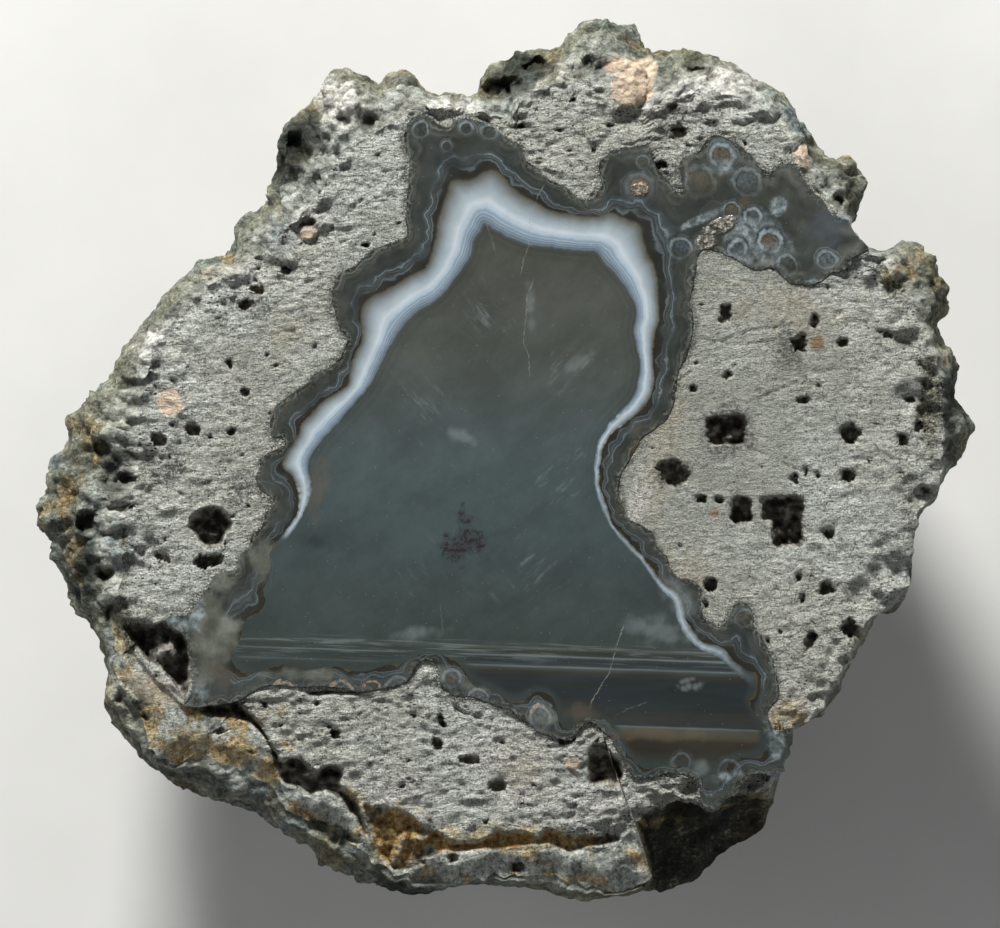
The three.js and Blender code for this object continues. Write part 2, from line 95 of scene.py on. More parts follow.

# ---- lines and lists, in millimetres from above, x to the right and y away -----------------------

# Edge of the sawn face.
FACE_EDGE = [
    (-39, -1.2), (-39.5, 2), (-39.2, 5), (-38.5, 7.9), (-37.9, 10.6), (-36.8, 13.2), (-35.1, 15.5),
    (-33.1, 17.3), (-30.8, 18.8), (-28.5, 20.2), (-26.6, 21.6), (-25.1, 22.9), (-23.7, 24.4),
    (-22.2, 25.7), (-20.7, 27.4), (-19.5, 29.1), (-18.6, 30.9), (-17.5, 32.8), (-15.9, 34.2),
    (-13.7, 35.3), (-11.6, 36.5), (-9.9, 37.7), (-8.2, 37.8), (-6.3, 37.7), (-4.3, 37.6),
    (-2.4, 37.1), (-0.7, 36.5), (0.8, 37), (1.9, 38.3), (3.8, 39.4), (5.9, 40.1), (8.6, 40.6),
    (11.1, 40.3), (12.9, 38.8), (14.5, 37.3), (16.2, 38), (18.4, 38.7), (20.9, 39.3), (23.7, 39.2),
    (26.3, 38.3), (28.5, 37), (30.1, 35.3), (31.1, 33.2), (31.9, 31.4), (32.9, 30.1), (34.2, 28.4),
    (35, 26.9), (36.1, 25.7), (37.2, 24.9), (38, 24.1), (38.6, 23.1), (39.5, 21.8), (41, 20.2),
    (42.4, 18.5), (43.5, 16.7), (44.4, 14.7), (45.2, 12.6), (46, 10.7), (46.7, 8.8), (47, 6.6),
    (47, 4.4), (46.9, 2.2), (47, 0.3), (46.7, -1.5), (46.4, -3.2), (45.4, -4.6), (44.5, -5.6),
    (44, -7.6), (43.6, -9.7), (43.4, -11.8), (43.3, -13.4), (42.6, -14.9), (41.6, -15.9),
    (40.2, -16.4), (39, -17.3), (37.8, -18.7), (37, -20.2), (37.1, -21.5), (36.1, -22.6),
    (35.7, -24.1), (34.8, -25.4), (33.5, -26.6), (32.2, -27.8), (30.7, -29), (30.5, -30.5),
    (30.2, -31.9), (29.7, -33.2), (28.4, -34.3), (27.3, -35.7), (25.7, -36), (24.2, -36.4),
    (23.1, -37.3), (21.7, -37.6), (20.5, -36.7), (18.8, -36.8), (16.9, -37), (15.1, -37.6),
    (14.2, -38.6), (13.6, -39.9), (14.1, -41.4), (14.8, -43), (15.6, -44.6), (14.5, -45.6),
    (12.6, -46), (10.4, -46.1), (8.1, -45.5), (5.9, -44.9), (3.6, -44.7), (1.2, -44.8),
    (-1.1, -44.6), (-3.5, -45.2), (-5.8, -45.3), (-8, -44.8), (-9.9, -44.7), (-11.8, -44.3),
    (-13.6, -43.2), (-15.2, -42.2), (-16.5, -41.1), (-17.6, -39.6), (-19.5, -38.9), (-21.5, -38.3),
    (-23.2, -37.7), (-24.4, -36.2), (-25.9, -34.8), (-27.7, -33.4), (-29.6, -32.6), (-31.7, -32),
    (-33.7, -32.1), (-35.7, -32.5), (-37.2, -31.5), (-38.3, -30.2), (-38.7, -28.6), (-39.4, -27.1),
    (-40.1, -25.6), (-41.1, -24.3), (-41.9, -22.7), (-41.6, -20.7), (-41.9, -18.5), (-41.7, -16.2),
    (-41.2, -13.8), (-40.9, -11.4), (-41, -9.1), (-40.7, -6.5), (-40, -3.9),
]

# Widest outline of the nodule with its knobs, seen from above.
GIRTH = [
    (-50, -6), (-49.6, -4.4), (-49.1, -2.9), (-49, -1.5), (-48.3, -0.2), (-47.5, 0.5),
    (-46.9, 1.9), (-46.8, 3.1), (-46.3, 4.5), (-45.3, 6), (-44, 7), (-42.9, 8), (-42.1, 9.2),
    (-41.4, 10.7), (-40.5, 12.3), (-39.3, 13.8), (-38, 15.4), (-36.9, 17), (-35.6, 18.7),
    (-33.8, 20.2), (-32.2, 21.3), (-29.9, 21.7), (-29.1, 22.8), (-28.6, 24.2), (-28.4, 25.4),
    (-27.4, 26.3), (-26.4, 27), (-25.4, 27.5), (-25, 29.2), (-24.4, 30.9), (-24.1, 32.4),
    (-24, 34.1), (-23.4, 35.8), (-22.5, 36.9), (-21.2, 37.6), (-20.3, 38.5), (-19.4, 39.8),
    (-18.8, 41.2), (-17.9, 41.9), (-16.4, 41.5), (-14.8, 40.9), (-13.5, 40.3), (-12.5, 41.2),
    (-11.1, 41.8), (-10, 41.3), (-8.9, 39.9), (-7.7, 39.2), (-5.8, 39.2), (-4, 38.9), (-2.6, 39.4),
    (-2.1, 40.9), (-1.2, 42.1), (0.2, 42.7), (1.8, 43.5), (3.6, 44.1), (5.1, 43.9), (6.6, 44.7),
    (7.5, 45.8), (8.6, 46.9), (10.3, 47.1), (12, 46.8), (13.6, 46.3), (14.5, 45.2), (15.6, 43.9),
    (17.4, 43.7), (19.5, 43.8), (21.7, 43.3), (23.9, 42.7), (25.8, 41.5), (27.7, 40.3),
    (29.6, 39.3), (30.9, 37.9), (31.7, 36.4), (32.6, 35.2), (33.3, 34), (34, 32.7), (35.5, 32.1),
    (37.1, 32.1), (37.9, 31), (38.7, 29.9), (38.3, 28.1), (37.7, 26.6), (37.3, 25), (38, 24.1),
    (38.8, 23.2), (40.1, 22.5), (41.6, 22.5), (43.4, 23), (45, 22.3), (46.4, 21.1), (47, 19.7),
    (47.7, 18.3), (47.6, 16.8), (46.9, 15.6), (46.5, 14.6), (46.9, 13.4), (47.5, 12.1),
    (48.4, 11.4), (48.7, 10.3), (48.5, 8.3), (48.5, 6.4), (49.5, 5.1), (50.1, 3.7), (49.9, 1.9),
    (49.3, 0.6), (48.4, -0.4), (47.7, -1.3), (47, -2.8), (46.6, -3.9), (45.6, -5), (44.8, -5.9),
    (44.2, -7.7), (43.9, -9.6), (43.8, -11.4), (43.6, -13.4), (43, -15), (41.9, -16.3),
    (40.3, -16.6), (39.5, -17.5), (39, -19), (38.1, -20.2), (37.5, -21.4), (36.8, -22.5),
    (36.3, -23.8), (36, -25), (35.1, -26.2), (34.2, -27.3), (32.9, -28.1), (31.6, -28.9),
    (30.8, -29.3), (30.8, -30.6), (30.4, -32), (29.9, -33.3), (29.4, -35), (28.7, -36.6),
    (28.3, -38), (27.6, -39.6), (26.8, -40.7), (25.3, -41.4), (24, -42.2), (23, -43.2),
    (21.3, -44.3), (19.8, -45.3), (18.1, -46), (16.1, -46.3), (14.3, -46.5), (12.3, -47),
    (10.2, -47.2), (8.2, -47.2), (6.4, -47), (4.4, -46.4), (2.7, -46.1), (1.1, -45.9),
    (-0.5, -45.6), (-2.2, -45.6), (-4.1, -45.8), (-5.8, -46), (-7.3, -46.4), (-9, -46.8),
    (-11, -46.4), (-12.5, -46.2), (-14, -45.6), (-15.5, -45), (-17.1, -44.4), (-18.4, -44),
    (-19.5, -43.1), (-20.4, -42.1), (-21.6, -41.1), (-23, -40.3), (-24.6, -39.6), (-25.9, -38.4),
    (-27.4, -37.8), (-28.5, -37.1), (-30.2, -36.8), (-32, -36.4), (-33.7, -35.7), (-35.3, -34.9),
    (-36.6, -33.9), (-37.9, -33.1), (-39.2, -31.9), (-40.4, -30.5), (-41.5, -29.2), (-42.2, -27.8),
    (-42.9, -26.5), (-42.9, -24.9), (-42.7, -23), (-43, -21.4), (-43.5, -19.9), (-44.2, -18.3),
    (-45.2, -16.6), (-46.4, -15.3), (-47, -13.8), (-47.6, -12.3), (-48.2, -10.8), (-48.5, -9.2),
    (-49.2, -7.9), (-49.8, -7.3),
]

# Where the agate meets the rhyolite.
CONTACT = [
    (-34.4, -26.4), (-33.7, -25.5), (-33.3, -24.1), (-33.4, -22.6), (-33.8, -21.1), (-34, -19.6),
    (-34.7, -18.5), (-36, -17.9), (-36.1, -17.1), (-35.1, -16.7), (-33.7, -16.7), (-32.9, -15.5),
    (-31.8, -14), (-31.2, -12.7), (-30.1, -12.1), (-28.8, -12.1), (-28.5, -11), (-28.2, -10.1),
    (-27.2, -9.5), (-27.1, -8.3), (-26.1, -7.4), (-25.6, -6.1), (-24.8, -5.1), (-24.9, -4.1),
    (-25.9, -3.3), (-26.6, -2.2), (-26.1, -1.3), (-26.2, -0.2), (-25.3, 0.5), (-24.1, 1.1),
    (-23.4, 1.4), (-23.8, 2.2), (-24.8, 2.5), (-25.1, 3.4), (-24.9, 4.7), (-24.2, 5.9), (-23, 6.7),
    (-21.9, 7.5), (-21, 8.2), (-20.2, 9.2), (-18.9, 9.6), (-17.8, 10.6), (-17.1, 11.9),
    (-16.9, 13.1), (-17.7, 14), (-18.1, 15.5), (-18.5, 16.9), (-18.4, 18.2), (-17.9, 19.5),
    (-17.2, 20.2), (-16, 20.7), (-15, 21.5), (-14, 22.4), (-12.5, 22.9), (-11.1, 23.4),
    (-10.4, 24.4), (-10.6, 25.7), (-10.5, 27.4), (-10.3, 29.1), (-10.2, 30.9), (-10.3, 32.5),
    (-10.8, 33.8), (-10.6, 35.2), (-10, 36.3), (-9, 37), (-8.1, 36.6), (-7.1, 35.8), (-5.9, 35.5),
    (-5.1, 36.3), (-3.9, 36.4), (-2.6, 36.1), (-1.3, 35.5), (-0.3, 34.8), (0.9, 34), (1.8, 33.4),
    (2.1, 32.4), (2.7, 31.6), (3.7, 31.1), (4.2, 30.3), (5.2, 29.6), (6.3, 29.3), (7, 28.7),
    (7.9, 27.9), (8.9, 27.7), (9.9, 28.2), (10.4, 29.2), (10.3, 30.3), (10, 31.2), (10.5, 32.1),
    (11.4, 32.8), (12.6, 33.2), (13.9, 33.4), (14.9, 33.7), (15.6, 33.1), (15.9, 31.9),
    (16.7, 30.7), (17.6, 29.6), (18.5, 28.6), (19.1, 28.7), (18.9, 29.9), (18.7, 31), (18.9, 32),
    (19.7, 32.5), (20.7, 32.8), (21.2, 33.6), (21.9, 34.3), (22.8, 34.6), (24, 34.2), (25.1, 33.6),
    (26.1, 32.7), (26.9, 31.7), (27.9, 30.6), (28.8, 30.7), (29.6, 31.5), (30.7, 31.6), (31.5, 31),
    (32, 30), (32.9, 28.8), (34, 27.7), (34.7, 26.5), (35.9, 25.7), (37.5, 25.5), (39.1, 24.5),
    (39.6, 23), (38.3, 22.1), (37.4, 21.6), (37, 20.7), (36, 20.1), (35, 19.9), (34.2, 19.3),
    (32.9, 18.7), (31.5, 18.7), (30.3, 19), (29.5, 19.7), (28.5, 20.5), (27.3, 20.2), (26.1, 20.5),
    (25, 21.2), (23.8, 21.9), (22.5, 22.3), (21.1, 22.4), (20.6, 21.3), (20.4, 19.8), (20.1, 18.1),
    (19.8, 16.6), (20.2, 15.1), (20.1, 13.4), (19.6, 11.4), (18.8, 9.8), (18.4, 8.2), (18.2, 6.6),
    (17.8, 5), (16.6, 3.7), (15.1, 2.6), (14, 1.2), (13.1, -0.4), (12.3, -2), (12.1, -3.3),
    (12.6, -4.9), (13.3, -6.3), (14.8, -7.2), (15.9, -7.9), (16.2, -9.2), (17.3, -10.4),
    (17.8, -11.7), (18.6, -12.7), (20.1, -13.1), (21, -13.9), (20.9, -15.4), (21.3, -16.9),
    (22.4, -17.9), (23.6, -17.9), (24.2, -16.7), (24.7, -15.7), (25.7, -15.5), (26.6, -16.4),
    (26.7, -17.8), (27.6, -19.2), (28.2, -20.4), (28.8, -21.9), (29.3, -23.6), (29.2, -25.6),
    (28.3, -26.8), (28.4, -28.1), (29.2, -29.2), (31, -28.8), (32.3, -30.3), (31.6, -32.4),
    (30.5, -33.9), (28.6, -33.9), (26.9, -33.6), (25.8, -34.2), (24.9, -35.3), (23.7, -36.3),
    (22.6, -37.4), (21.3, -37.1), (20.9, -36), (20.7, -34.7), (19.5, -33.9), (17.7, -33.6),
    (16, -34), (14.5, -34.2), (13.4, -33.5), (12.6, -32.1), (11.8, -30.9), (11.2, -29.6),
    (10.1, -28.7), (8.9, -28.2), (8, -29), (7.2, -30.1), (6, -29.9), (4.7, -29.7), (3.5, -29),
    (2.3, -28), (1.1, -27.2), (-0.3, -26.5), (-1.8, -26), (-3.3, -25.5), (-4.7, -25.5),
    (-5.9, -24.9), (-6.8, -24), (-6.9, -22.6), (-7.8, -21.6), (-8.9, -21.6), (-9.8, -22.6),
    (-10.5, -23.8), (-12.1, -24.3), (-14, -24.7), (-15.9, -24.8), (-17.8, -24.4), (-20, -24.3),
    (-22.1, -24.4), (-24, -24.2), (-25.5, -24.2), (-26.8, -24.8), (-28.3, -25.8), (-30.2, -26.2),
    (-32.3, -26.5),
]

# Outer line of the white band.
BAND_OUTER = [
    (-29.1, -21.6), (-28.6, -20.2), (-28.1, -18.7), (-27.6, -17.3), (-26.3, -16.5), (-25.5, -15.3),
    (-25.7, -14), (-25.1, -12.7), (-24.9, -11.3), (-25.1, -10.2), (-24.3, -9), (-23.6, -7.9),
    (-22.8, -7), (-22.1, -5.7), (-22, -4.3), (-22.1, -3), (-22.7, -1.7), (-23.6, -0.7),
    (-23.2, 0.3), (-22.6, 1.4), (-21.9, 2.5), (-21.5, 3.7), (-20.6, 4.6), (-19.7, 5.7),
    (-18.9, 6.3), (-17.8, 7), (-16.7, 7.9), (-16.3, 9.3), (-15.9, 10.9), (-15.2, 12.3),
    (-15, 13.8), (-15.1, 15.3), (-14.7, 16.5), (-13.4, 17.4), (-11.8, 18.2), (-10.3, 19.2),
    (-8.9, 19.9), (-8, 20.7), (-7.5, 22.1), (-7.1, 23.6), (-6.8, 25.4), (-6.3, 26.9), (-5.8, 28.2),
    (-5.4, 29.4), (-4.1, 29.5), (-2.8, 29.9), (-1.7, 30.5), (-0.6, 30.2), (0.5, 28.9), (1.8, 27.9),
    (3.4, 27.1), (4.8, 26.3), (6.6, 26), (8.5, 25.7), (10.2, 25.7), (11.4, 26), (12.5, 25.5),
    (14.1, 24.8), (14.5, 23.4), (15, 21.9), (15.8, 20.4), (16.2, 18.5), (16.3, 16.7), (16.4, 15.1),
    (16, 13.6), (15.8, 11.9), (15.8, 10.2), (15.9, 8.5), (15.5, 6.7), (14.3, 5.1), (12.8, 3.9),
    (11.4, 2.7), (10.6, 1.3), (10.3, -0.2), (10.1, -2), (10.4, -3.7), (11, -5.3), (11.6, -7),
    (12.7, -8.3), (14, -9.6), (15.2, -11), (16.2, -12.3), (17.3, -13.6), (18.6, -14.6),
    (19.1, -15.9), (19.4, -17.3), (20.2, -18.5), (21.2, -19.7), (22.5, -20), (23.5, -20.4),
    (24.4, -21.5), (25.6, -22.5), (26.7, -23.2), (26.8, -24.7), (26.1, -26.1), (27, -27.5),
    (27.8, -29), (28, -30.6), (27.1, -31.9), (25.4, -31.9), (24, -32.4), (23.4, -33.8),
    (22.6, -35.3), (21.6, -35.1), (21, -33.8), (19.8, -33.1), (17.9, -32.7), (16, -33),
    (14.5, -32.8), (13.5, -31.9), (12.7, -30.6), (12, -29.2), (10.9, -28), (9.4, -27.5),
    (7.9, -28.1), (6.8, -28.8), (5.8, -27.7), (5.5, -26.1), (4.5, -25), (3.2, -24.9), (2.1, -25.7),
    (0.7, -25.8), (-0.7, -25.1), (-2, -24.4), (-3.3, -24.1), (-4.1, -22.9), (-5.1, -21.6),
    (-6.5, -20.9), (-8.2, -20.7), (-9.7, -21.1), (-11, -21.8), (-12.7, -22), (-14.6, -22.6),
    (-16.3, -22.6), (-18.2, -22.1), (-20.1, -22.4), (-21.8, -22.4), (-23.4, -21.9), (-25.1, -22.3),
    (-26.8, -22.8), (-28.3, -22.5),
]

# Inner line of the white band.
BAND_INNER = [
    (-28.3, -21.5), (-28, -19.9), (-27.4, -18.5), (-27, -17.7), (-25.8, -16.8), (-25, -15.4),
    (-25.2, -14), (-24.6, -12.7), (-24.3, -11.3), (-24.6, -10.3), (-23.9, -9.3), (-23.2, -8.2),
    (-22.3, -7.1), (-21.6, -5.7), (-21, -4.4), (-20.8, -3), (-21.1, -1.6), (-21.2, -0.3),
    (-20.5, 1.1), (-19.5, 2.4), (-18.6, 3.4), (-17.4, 4.7), (-16.2, 6.1), (-15, 7.4), (-14, 9.1),
    (-13.2, 10.8), (-12.3, 12.6), (-11, 14.6), (-9.3, 16.2), (-7.5, 17.2), (-6.2, 18.6),
    (-4.9, 20.4), (-3.9, 22.1), (-3.6, 23.6), (-2.9, 24.8), (-2.2, 25.7), (-0.7, 24.8),
    (1.1, 23.9), (2.8, 23.3), (5.5, 22.9), (8.1, 22.6), (10.1, 22.4), (11.1, 21.1), (12.6, 19.5),
    (13.5, 18), (14.2, 16.5), (14.3, 15.2), (14, 13.8), (14.3, 12.1), (14.6, 10.4), (14.5, 8.6),
    (13.9, 6.6), (12.4, 4.9), (11.1, 3.5), (10.2, 2), (9.8, 0.4), (9.6, -1.4), (9.8, -3.2),
    (10.3, -4.9), (11.1, -6.6), (12, -8.1), (13.3, -9.5), (14.6, -10.9), (15.6, -12.3),
    (16.6, -13.7), (17.9, -14.9), (18.4, -16.2), (18.8, -17.7), (19.6, -19), (20.8, -20.2),
    (22.1, -20.8), (23.1, -21.2), (24, -22.1), (25.1, -23.1), (26.1, -24), (25.7, -25.6),
    (26.1, -27), (27, -28.8), (27.1, -30.3), (26.3, -31.1), (24.7, -31.2), (23.3, -32),
    (22.6, -33.3), (21.8, -33.8), (20.7, -32.7), (18.2, -32), (15.8, -32.2), (14.1, -31.7),
    (13, -30.1), (12.1, -28.4), (10.2, -27.2), (8.3, -27), (7, -27.4), (6.3, -26.1), (5.4, -24.9),
    (3.9, -24.2), (2.3, -24.5), (1, -25), (-0.5, -24.3), (-2, -23.5), (-3, -23), (-3.9, -21.9),
    (-4.8, -20.7), (-6.5, -20), (-8.2, -19.9), (-9.9, -20.2), (-11.4, -21.1), (-13.1, -21.4),
    (-15, -21.8), (-17, -21.7), (-18.7, -21.4), (-20.4, -21.5), (-22.1, -21.5), (-23.6, -21.2),
    (-25.3, -21.5), (-26.8, -22),
]

# Pits in the sawn rhyolite: x, y, width, height, depth, turn in degrees, squareness, raggedness.
PITS = [
    (23.8, 3, 3.9, 3, 2.6, 4, 6, 0.12), (18.1, -1.7, 2.8, 3, 1.5, 30, 2.5, 0.5),
    (25.4, -5.5, 2.1, 2.7, 2.1, -4, 5, 0.15), (29.8, -5.3, 4.3, 2.4, 2.5, 2, 7, 0.12),
    (30.4, -7.7, 3.2, 3.2, 3, 3, 7, 0.12), (37, 2.7, 1.9, 1.9, 1.6, 35, 3, 0.3),
    (42.6, 2, 1.1, 1.3, 1.1, 0, 3, 0.3), (44.4, 3.4, 1.1, 1.1, 1.1, 15, 3, 0.3),
    (36.9, -1.8, 1.4, 1.2, 1.2, 10, 3, 0.3), (31.2, -2.2, 0.6, 1.4, 1, 0, 4, 0.3),
    (32.3, -1.4, 0.4, 1.2, 0.8, -10, 4, 0.3), (33.5, -1.7, 0.4, 1, 0.8, 5, 4, 0.3),
    (23, -4.4, 0.9, 0.9, 1, 0, 3, 0.3), (21.2, -4.3, 1.1, 1.1, 1.2, 0, 2.5, 0.5),
    (34.8, -8.1, 1, 1.2, 1, 20, 3, 0.3), (34.5, -13.9, 1.4, 1.3, 1.3, 20, 3, 0.4),
    (32.8, -19.4, 1, 2, 1.3, -30, 3, 0.4), (31.9, -15, 0.5, 1, 0.9, 0, 4, 0.3),
    (45.2, -3.3, 0.9, 0.8, 0.9, 0, 3, 0.3), (22.1, -13.5, 1.2, 1.2, 1.2, 0, 3, 0.4),
    (31.5, -12.8, 0.6, 0.9, 0.9, 0, 3, 0.3), (43.3, 6.4, 1.3, 0.6, 1, 0, 2.5, 0.5),
    (32, 6.3, 1.5, 0.6, 1, 0, 2.5, 0.5), (37.2, -18.2, 2.1, 1.5, 1.4, -40, 2.5, 0.5),
    (21.6, -15.6, 0.6, 0.8, 0.8, 0, 3, 0.4), (20.2, 7.5, 0.8, 0.8, 0.9, 0, 2.5, 0.4),
    (23.8, 8.9, 0.6, 1, 0.8, -20, 3, 0.4), (23.6, 15.4, 1.2, 1.7, 1.1, -15, 2.5, 0.6),
    (33.2, 14.7, 0.9, 1.4, 1, -25, 4, 0.4), (31.7, 12.4, 1.7, 1.6, 1.4, 40, 2.5, 0.5),
    (36.2, 12.5, 1.2, 0.9, 0.9, 0, 3, 0.4), (16.6, 31.4, 1.6, 0.9, 1.2, 10, 2.5, 0.4),
    (18.8, 34.9, 1.9, 1.3, 1.2, -5, 2.5, 0.5), (18.1, 37.8, 1, 0.6, 0.9, 0, 3, 0.4),
    (-36.6, -10.6, 1.7, 0.9, 1.2, -25, 2.5, 0.4), (-31.7, -11, 2.7, 1.3, 1.4, 10, 2.5, 0.5),
    (-43, 1, 2.1, 1.9, 1.5, 20, 2.5, 0.5), (-43.8, -7.1, 1.8, 1.4, 1.3, 0, 2.5, 0.5),
    (-40.3, -2.2, 1.9, 1.7, 1.3, 50, 2.5, 0.5), (-33.4, 3.1, 1.4, 1.2, 1.1, 0, 2.5, 0.5),
    (-37, 2, 1.5, 1.4, 1.1, 0, 2.5, 0.5), (-27.8, 7.1, 1, 0.8, 0.9, 0, 2.5, 0.4),
    (-29.2, 2.9, 0.9, 0.8, 0.8, 0, 2.5, 0.4), (-18.1, -29.5, 1.1, 1, 1.1, 10, 3, 0.3),
    (-30.5, -29.1, 0.9, 0.9, 1, 0, 3, 0.3), (-38.5, -27.6, 0.8, 0.6, 0.8, 0, 3, 0.3),
    (-6.7, -28.1, 0.6, 1.8, 1.1, 20, 5, 0.2), (-7.2, -30.6, 1, 1.4, 1, 10, 3, 0.4),
    (-3.6, -32.2, 2, 0.9, 1.1, -5, 2.5, 0.5), (-0.8, -35, 2, 1.1, 1.2, -5, 2.5, 0.5),
    (-5.5, -42.7, 1.1, 1, 1.1, 0, 3, 0.3), (1.4, -43.7, 1.2, 1, 1.1, 0, 3, 0.3),
    (6.5, -29.9, 1.7, 1.3, 1, 0, 2.5, 0.5), (-26.4, 18.1, 1.3, 1, 1.1, 0, 2.5, 0.5),
    (-23.4, 20.2, 1.1, 0.9, 1.1, 0, 2.5, 0.4), (-27.7, 16.5, 1.5, 1, 1.2, 20, 2.5, 0.5),
    (-29.4, 10.1, 0.6, 1.1, 0.9, 20, 3, 0.3), (-21.1, 25.4, 1.7, 0.8, 1.1, 5, 2.5, 0.5),
    (-14.9, 22.9, 1.1, 0.5, 0.9, 0, 2.5, 0.5), (-9, -42.7, 1, 1.3, 1, 0, 3, 0.4),
    (5.9, 35.2, 0.9, 0.5, 0.7, 0, 2.5, 0.5), (1.7, 35.7, 1.1, 0.6, 0.9, 0, 2.5, 0.5),
    (11.3, 35.7, 1.3, 0.5, 0.8, 0, 2.5, 0.5), (12.9, 33.1, 1, 0.5, 0.8, 0, 2.5, 0.5),
    (41, 13.3, 1.1, 0.8, 0.9, 0, 2.5, 0.5),
]

# Larger hollows in the sawn rhyolite: depth, then outline.
HOLLOWS = {
    "left_vug": (2.8, [(-33.5, -6), (-32.6, -5.5), (-31.3, -5.1), (-30, -5.6), (-29.4, -6.5),
        (-29.1, -7.6), (-29.8, -8), (-30.2, -9), (-31.5, -9.7), (-32.5, -9.3), (-33.1, -8.2),
        (-33.8, -7.3)]),
    "bottom_vug": (2.4, [(9.1, -31), (10.5, -30.6), (11.5, -31.5), (12.6, -32.7), (12.8, -33.8),
        (12.4, -34.9), (11.4, -35.3), (10.4, -35), (9.1, -34.6)]),
    "flare_hollow": (3, [(-40.8, -17.9), (-39.3, -17.5), (-37.8, -17.8), (-36.3, -17.5), (-35.1, -18.3),
        (-34.1, -18.7), (-33.8, -20.2), (-33.5, -22), (-33.7, -24), (-34.4, -26), (-35.1, -24.7),
        (-35.9, -23.5), (-36.9, -22.5), (-38.4, -21.5), (-39.6, -20), (-40.6, -18.7)]),
    "crust_gap": (2.3, [(-34.4, -26.1), (-33.1, -26.5), (-32, -26.2), (-30.3, -26.1), (-28.8, -25.9),
        (-27.9, -26.4), (-27.2, -27.2), (-26.4, -28.1), (-25.6, -29.3), (-25, -30.3), (-24.4, -31.4),
        (-23.8, -32.4), (-22.7, -31.9), (-21.3, -32.4), (-20, -33.3), (-18.5, -32.7), (-17.3, -33.5),
        (-17.4, -35.2), (-16.6, -35.7), (-15.8, -36.6), (-15.2, -37.8), (-14.8, -39.3), (-14.2, -40.6),
        (-15.5, -39.9), (-16.2, -38.6), (-17.1, -37.1), (-18, -36.2), (-19.4, -35.7), (-21.1, -36),
        (-22.4, -35.2), (-23.6, -34.8), (-24.4, -33.7), (-25, -32), (-25.4, -30.5), (-26.4, -29.2),
        (-27.7, -28.2), (-29.4, -27.7), (-31.4, -27.7), (-33.1, -27)]),
    "ochre_pocket": (1.4, [(-15.1, -36.8), (-14.2, -37.3), (-13.1, -37.1), (-11.9, -37.4),
        (-10.6, -37.8), (-9.4, -38.5), (-8.4, -39.5), (-6.9, -39.9), (-5.8, -40.8), (-4.5, -41),
        (-3, -40.8), (-1.6, -40.4), (-1, -39.8), (0.1, -39.9), (0.9, -39.7), (2, -39.8), (2.9, -40.1),
        (3.5, -40.6), (4.4, -39.6), (5.4, -39.8), (6.9, -40.3), (8.4, -40.1), (9.9, -40.3),
        (11.4, -40.1), (12.1, -40.3), (12.5, -41), (11, -41.4), (8.9, -41.9), (7.2, -42.2),
        (5.4, -41.7), (3.5, -41.3), (2, -41.6), (-0.3, -41.9), (-1.8, -41.8), (-3.7, -42.1),
        (-5.5, -42.2), (-6.8, -42.4), (-7.8, -42.8), (-8.9, -43.4), (-9.8, -44), (-10.8, -44.3),
        (-11.9, -44.1), (-12.7, -43.4), (-13.4, -42.7), (-14, -41.4), (-14.5, -40), (-15, -38.4)]),
    "crust_recess": (1.7, [(-20.9, -38.5), (-20, -38.6), (-18.7, -38.8), (-17.4, -39.3), (-16.3, -40.1),
        (-15.4, -41.1), (-16.3, -41.4), (-17.6, -41.1), (-18.9, -40.6), (-20, -39.8)]),
    "edge_slot": (1.4, [(-21.1, -24.8), (-19.7, -24.7), (-18.1, -24.7), (-16.5, -24.7), (-15.4, -24.7),
        (-15.2, -25.1), (-16.5, -25.3), (-18.1, -25.3), (-19.7, -25.4), (-21.1, -25.3)]),
    "side_slot": (1.1, [(-5.3, -26.4), (-4.2, -27), (-3.2, -27.3), (-2.1, -27.7), (-2.2, -28.1),
        (-3.4, -27.8), (-4.4, -27.4), (-5.4, -26.9)]),
}
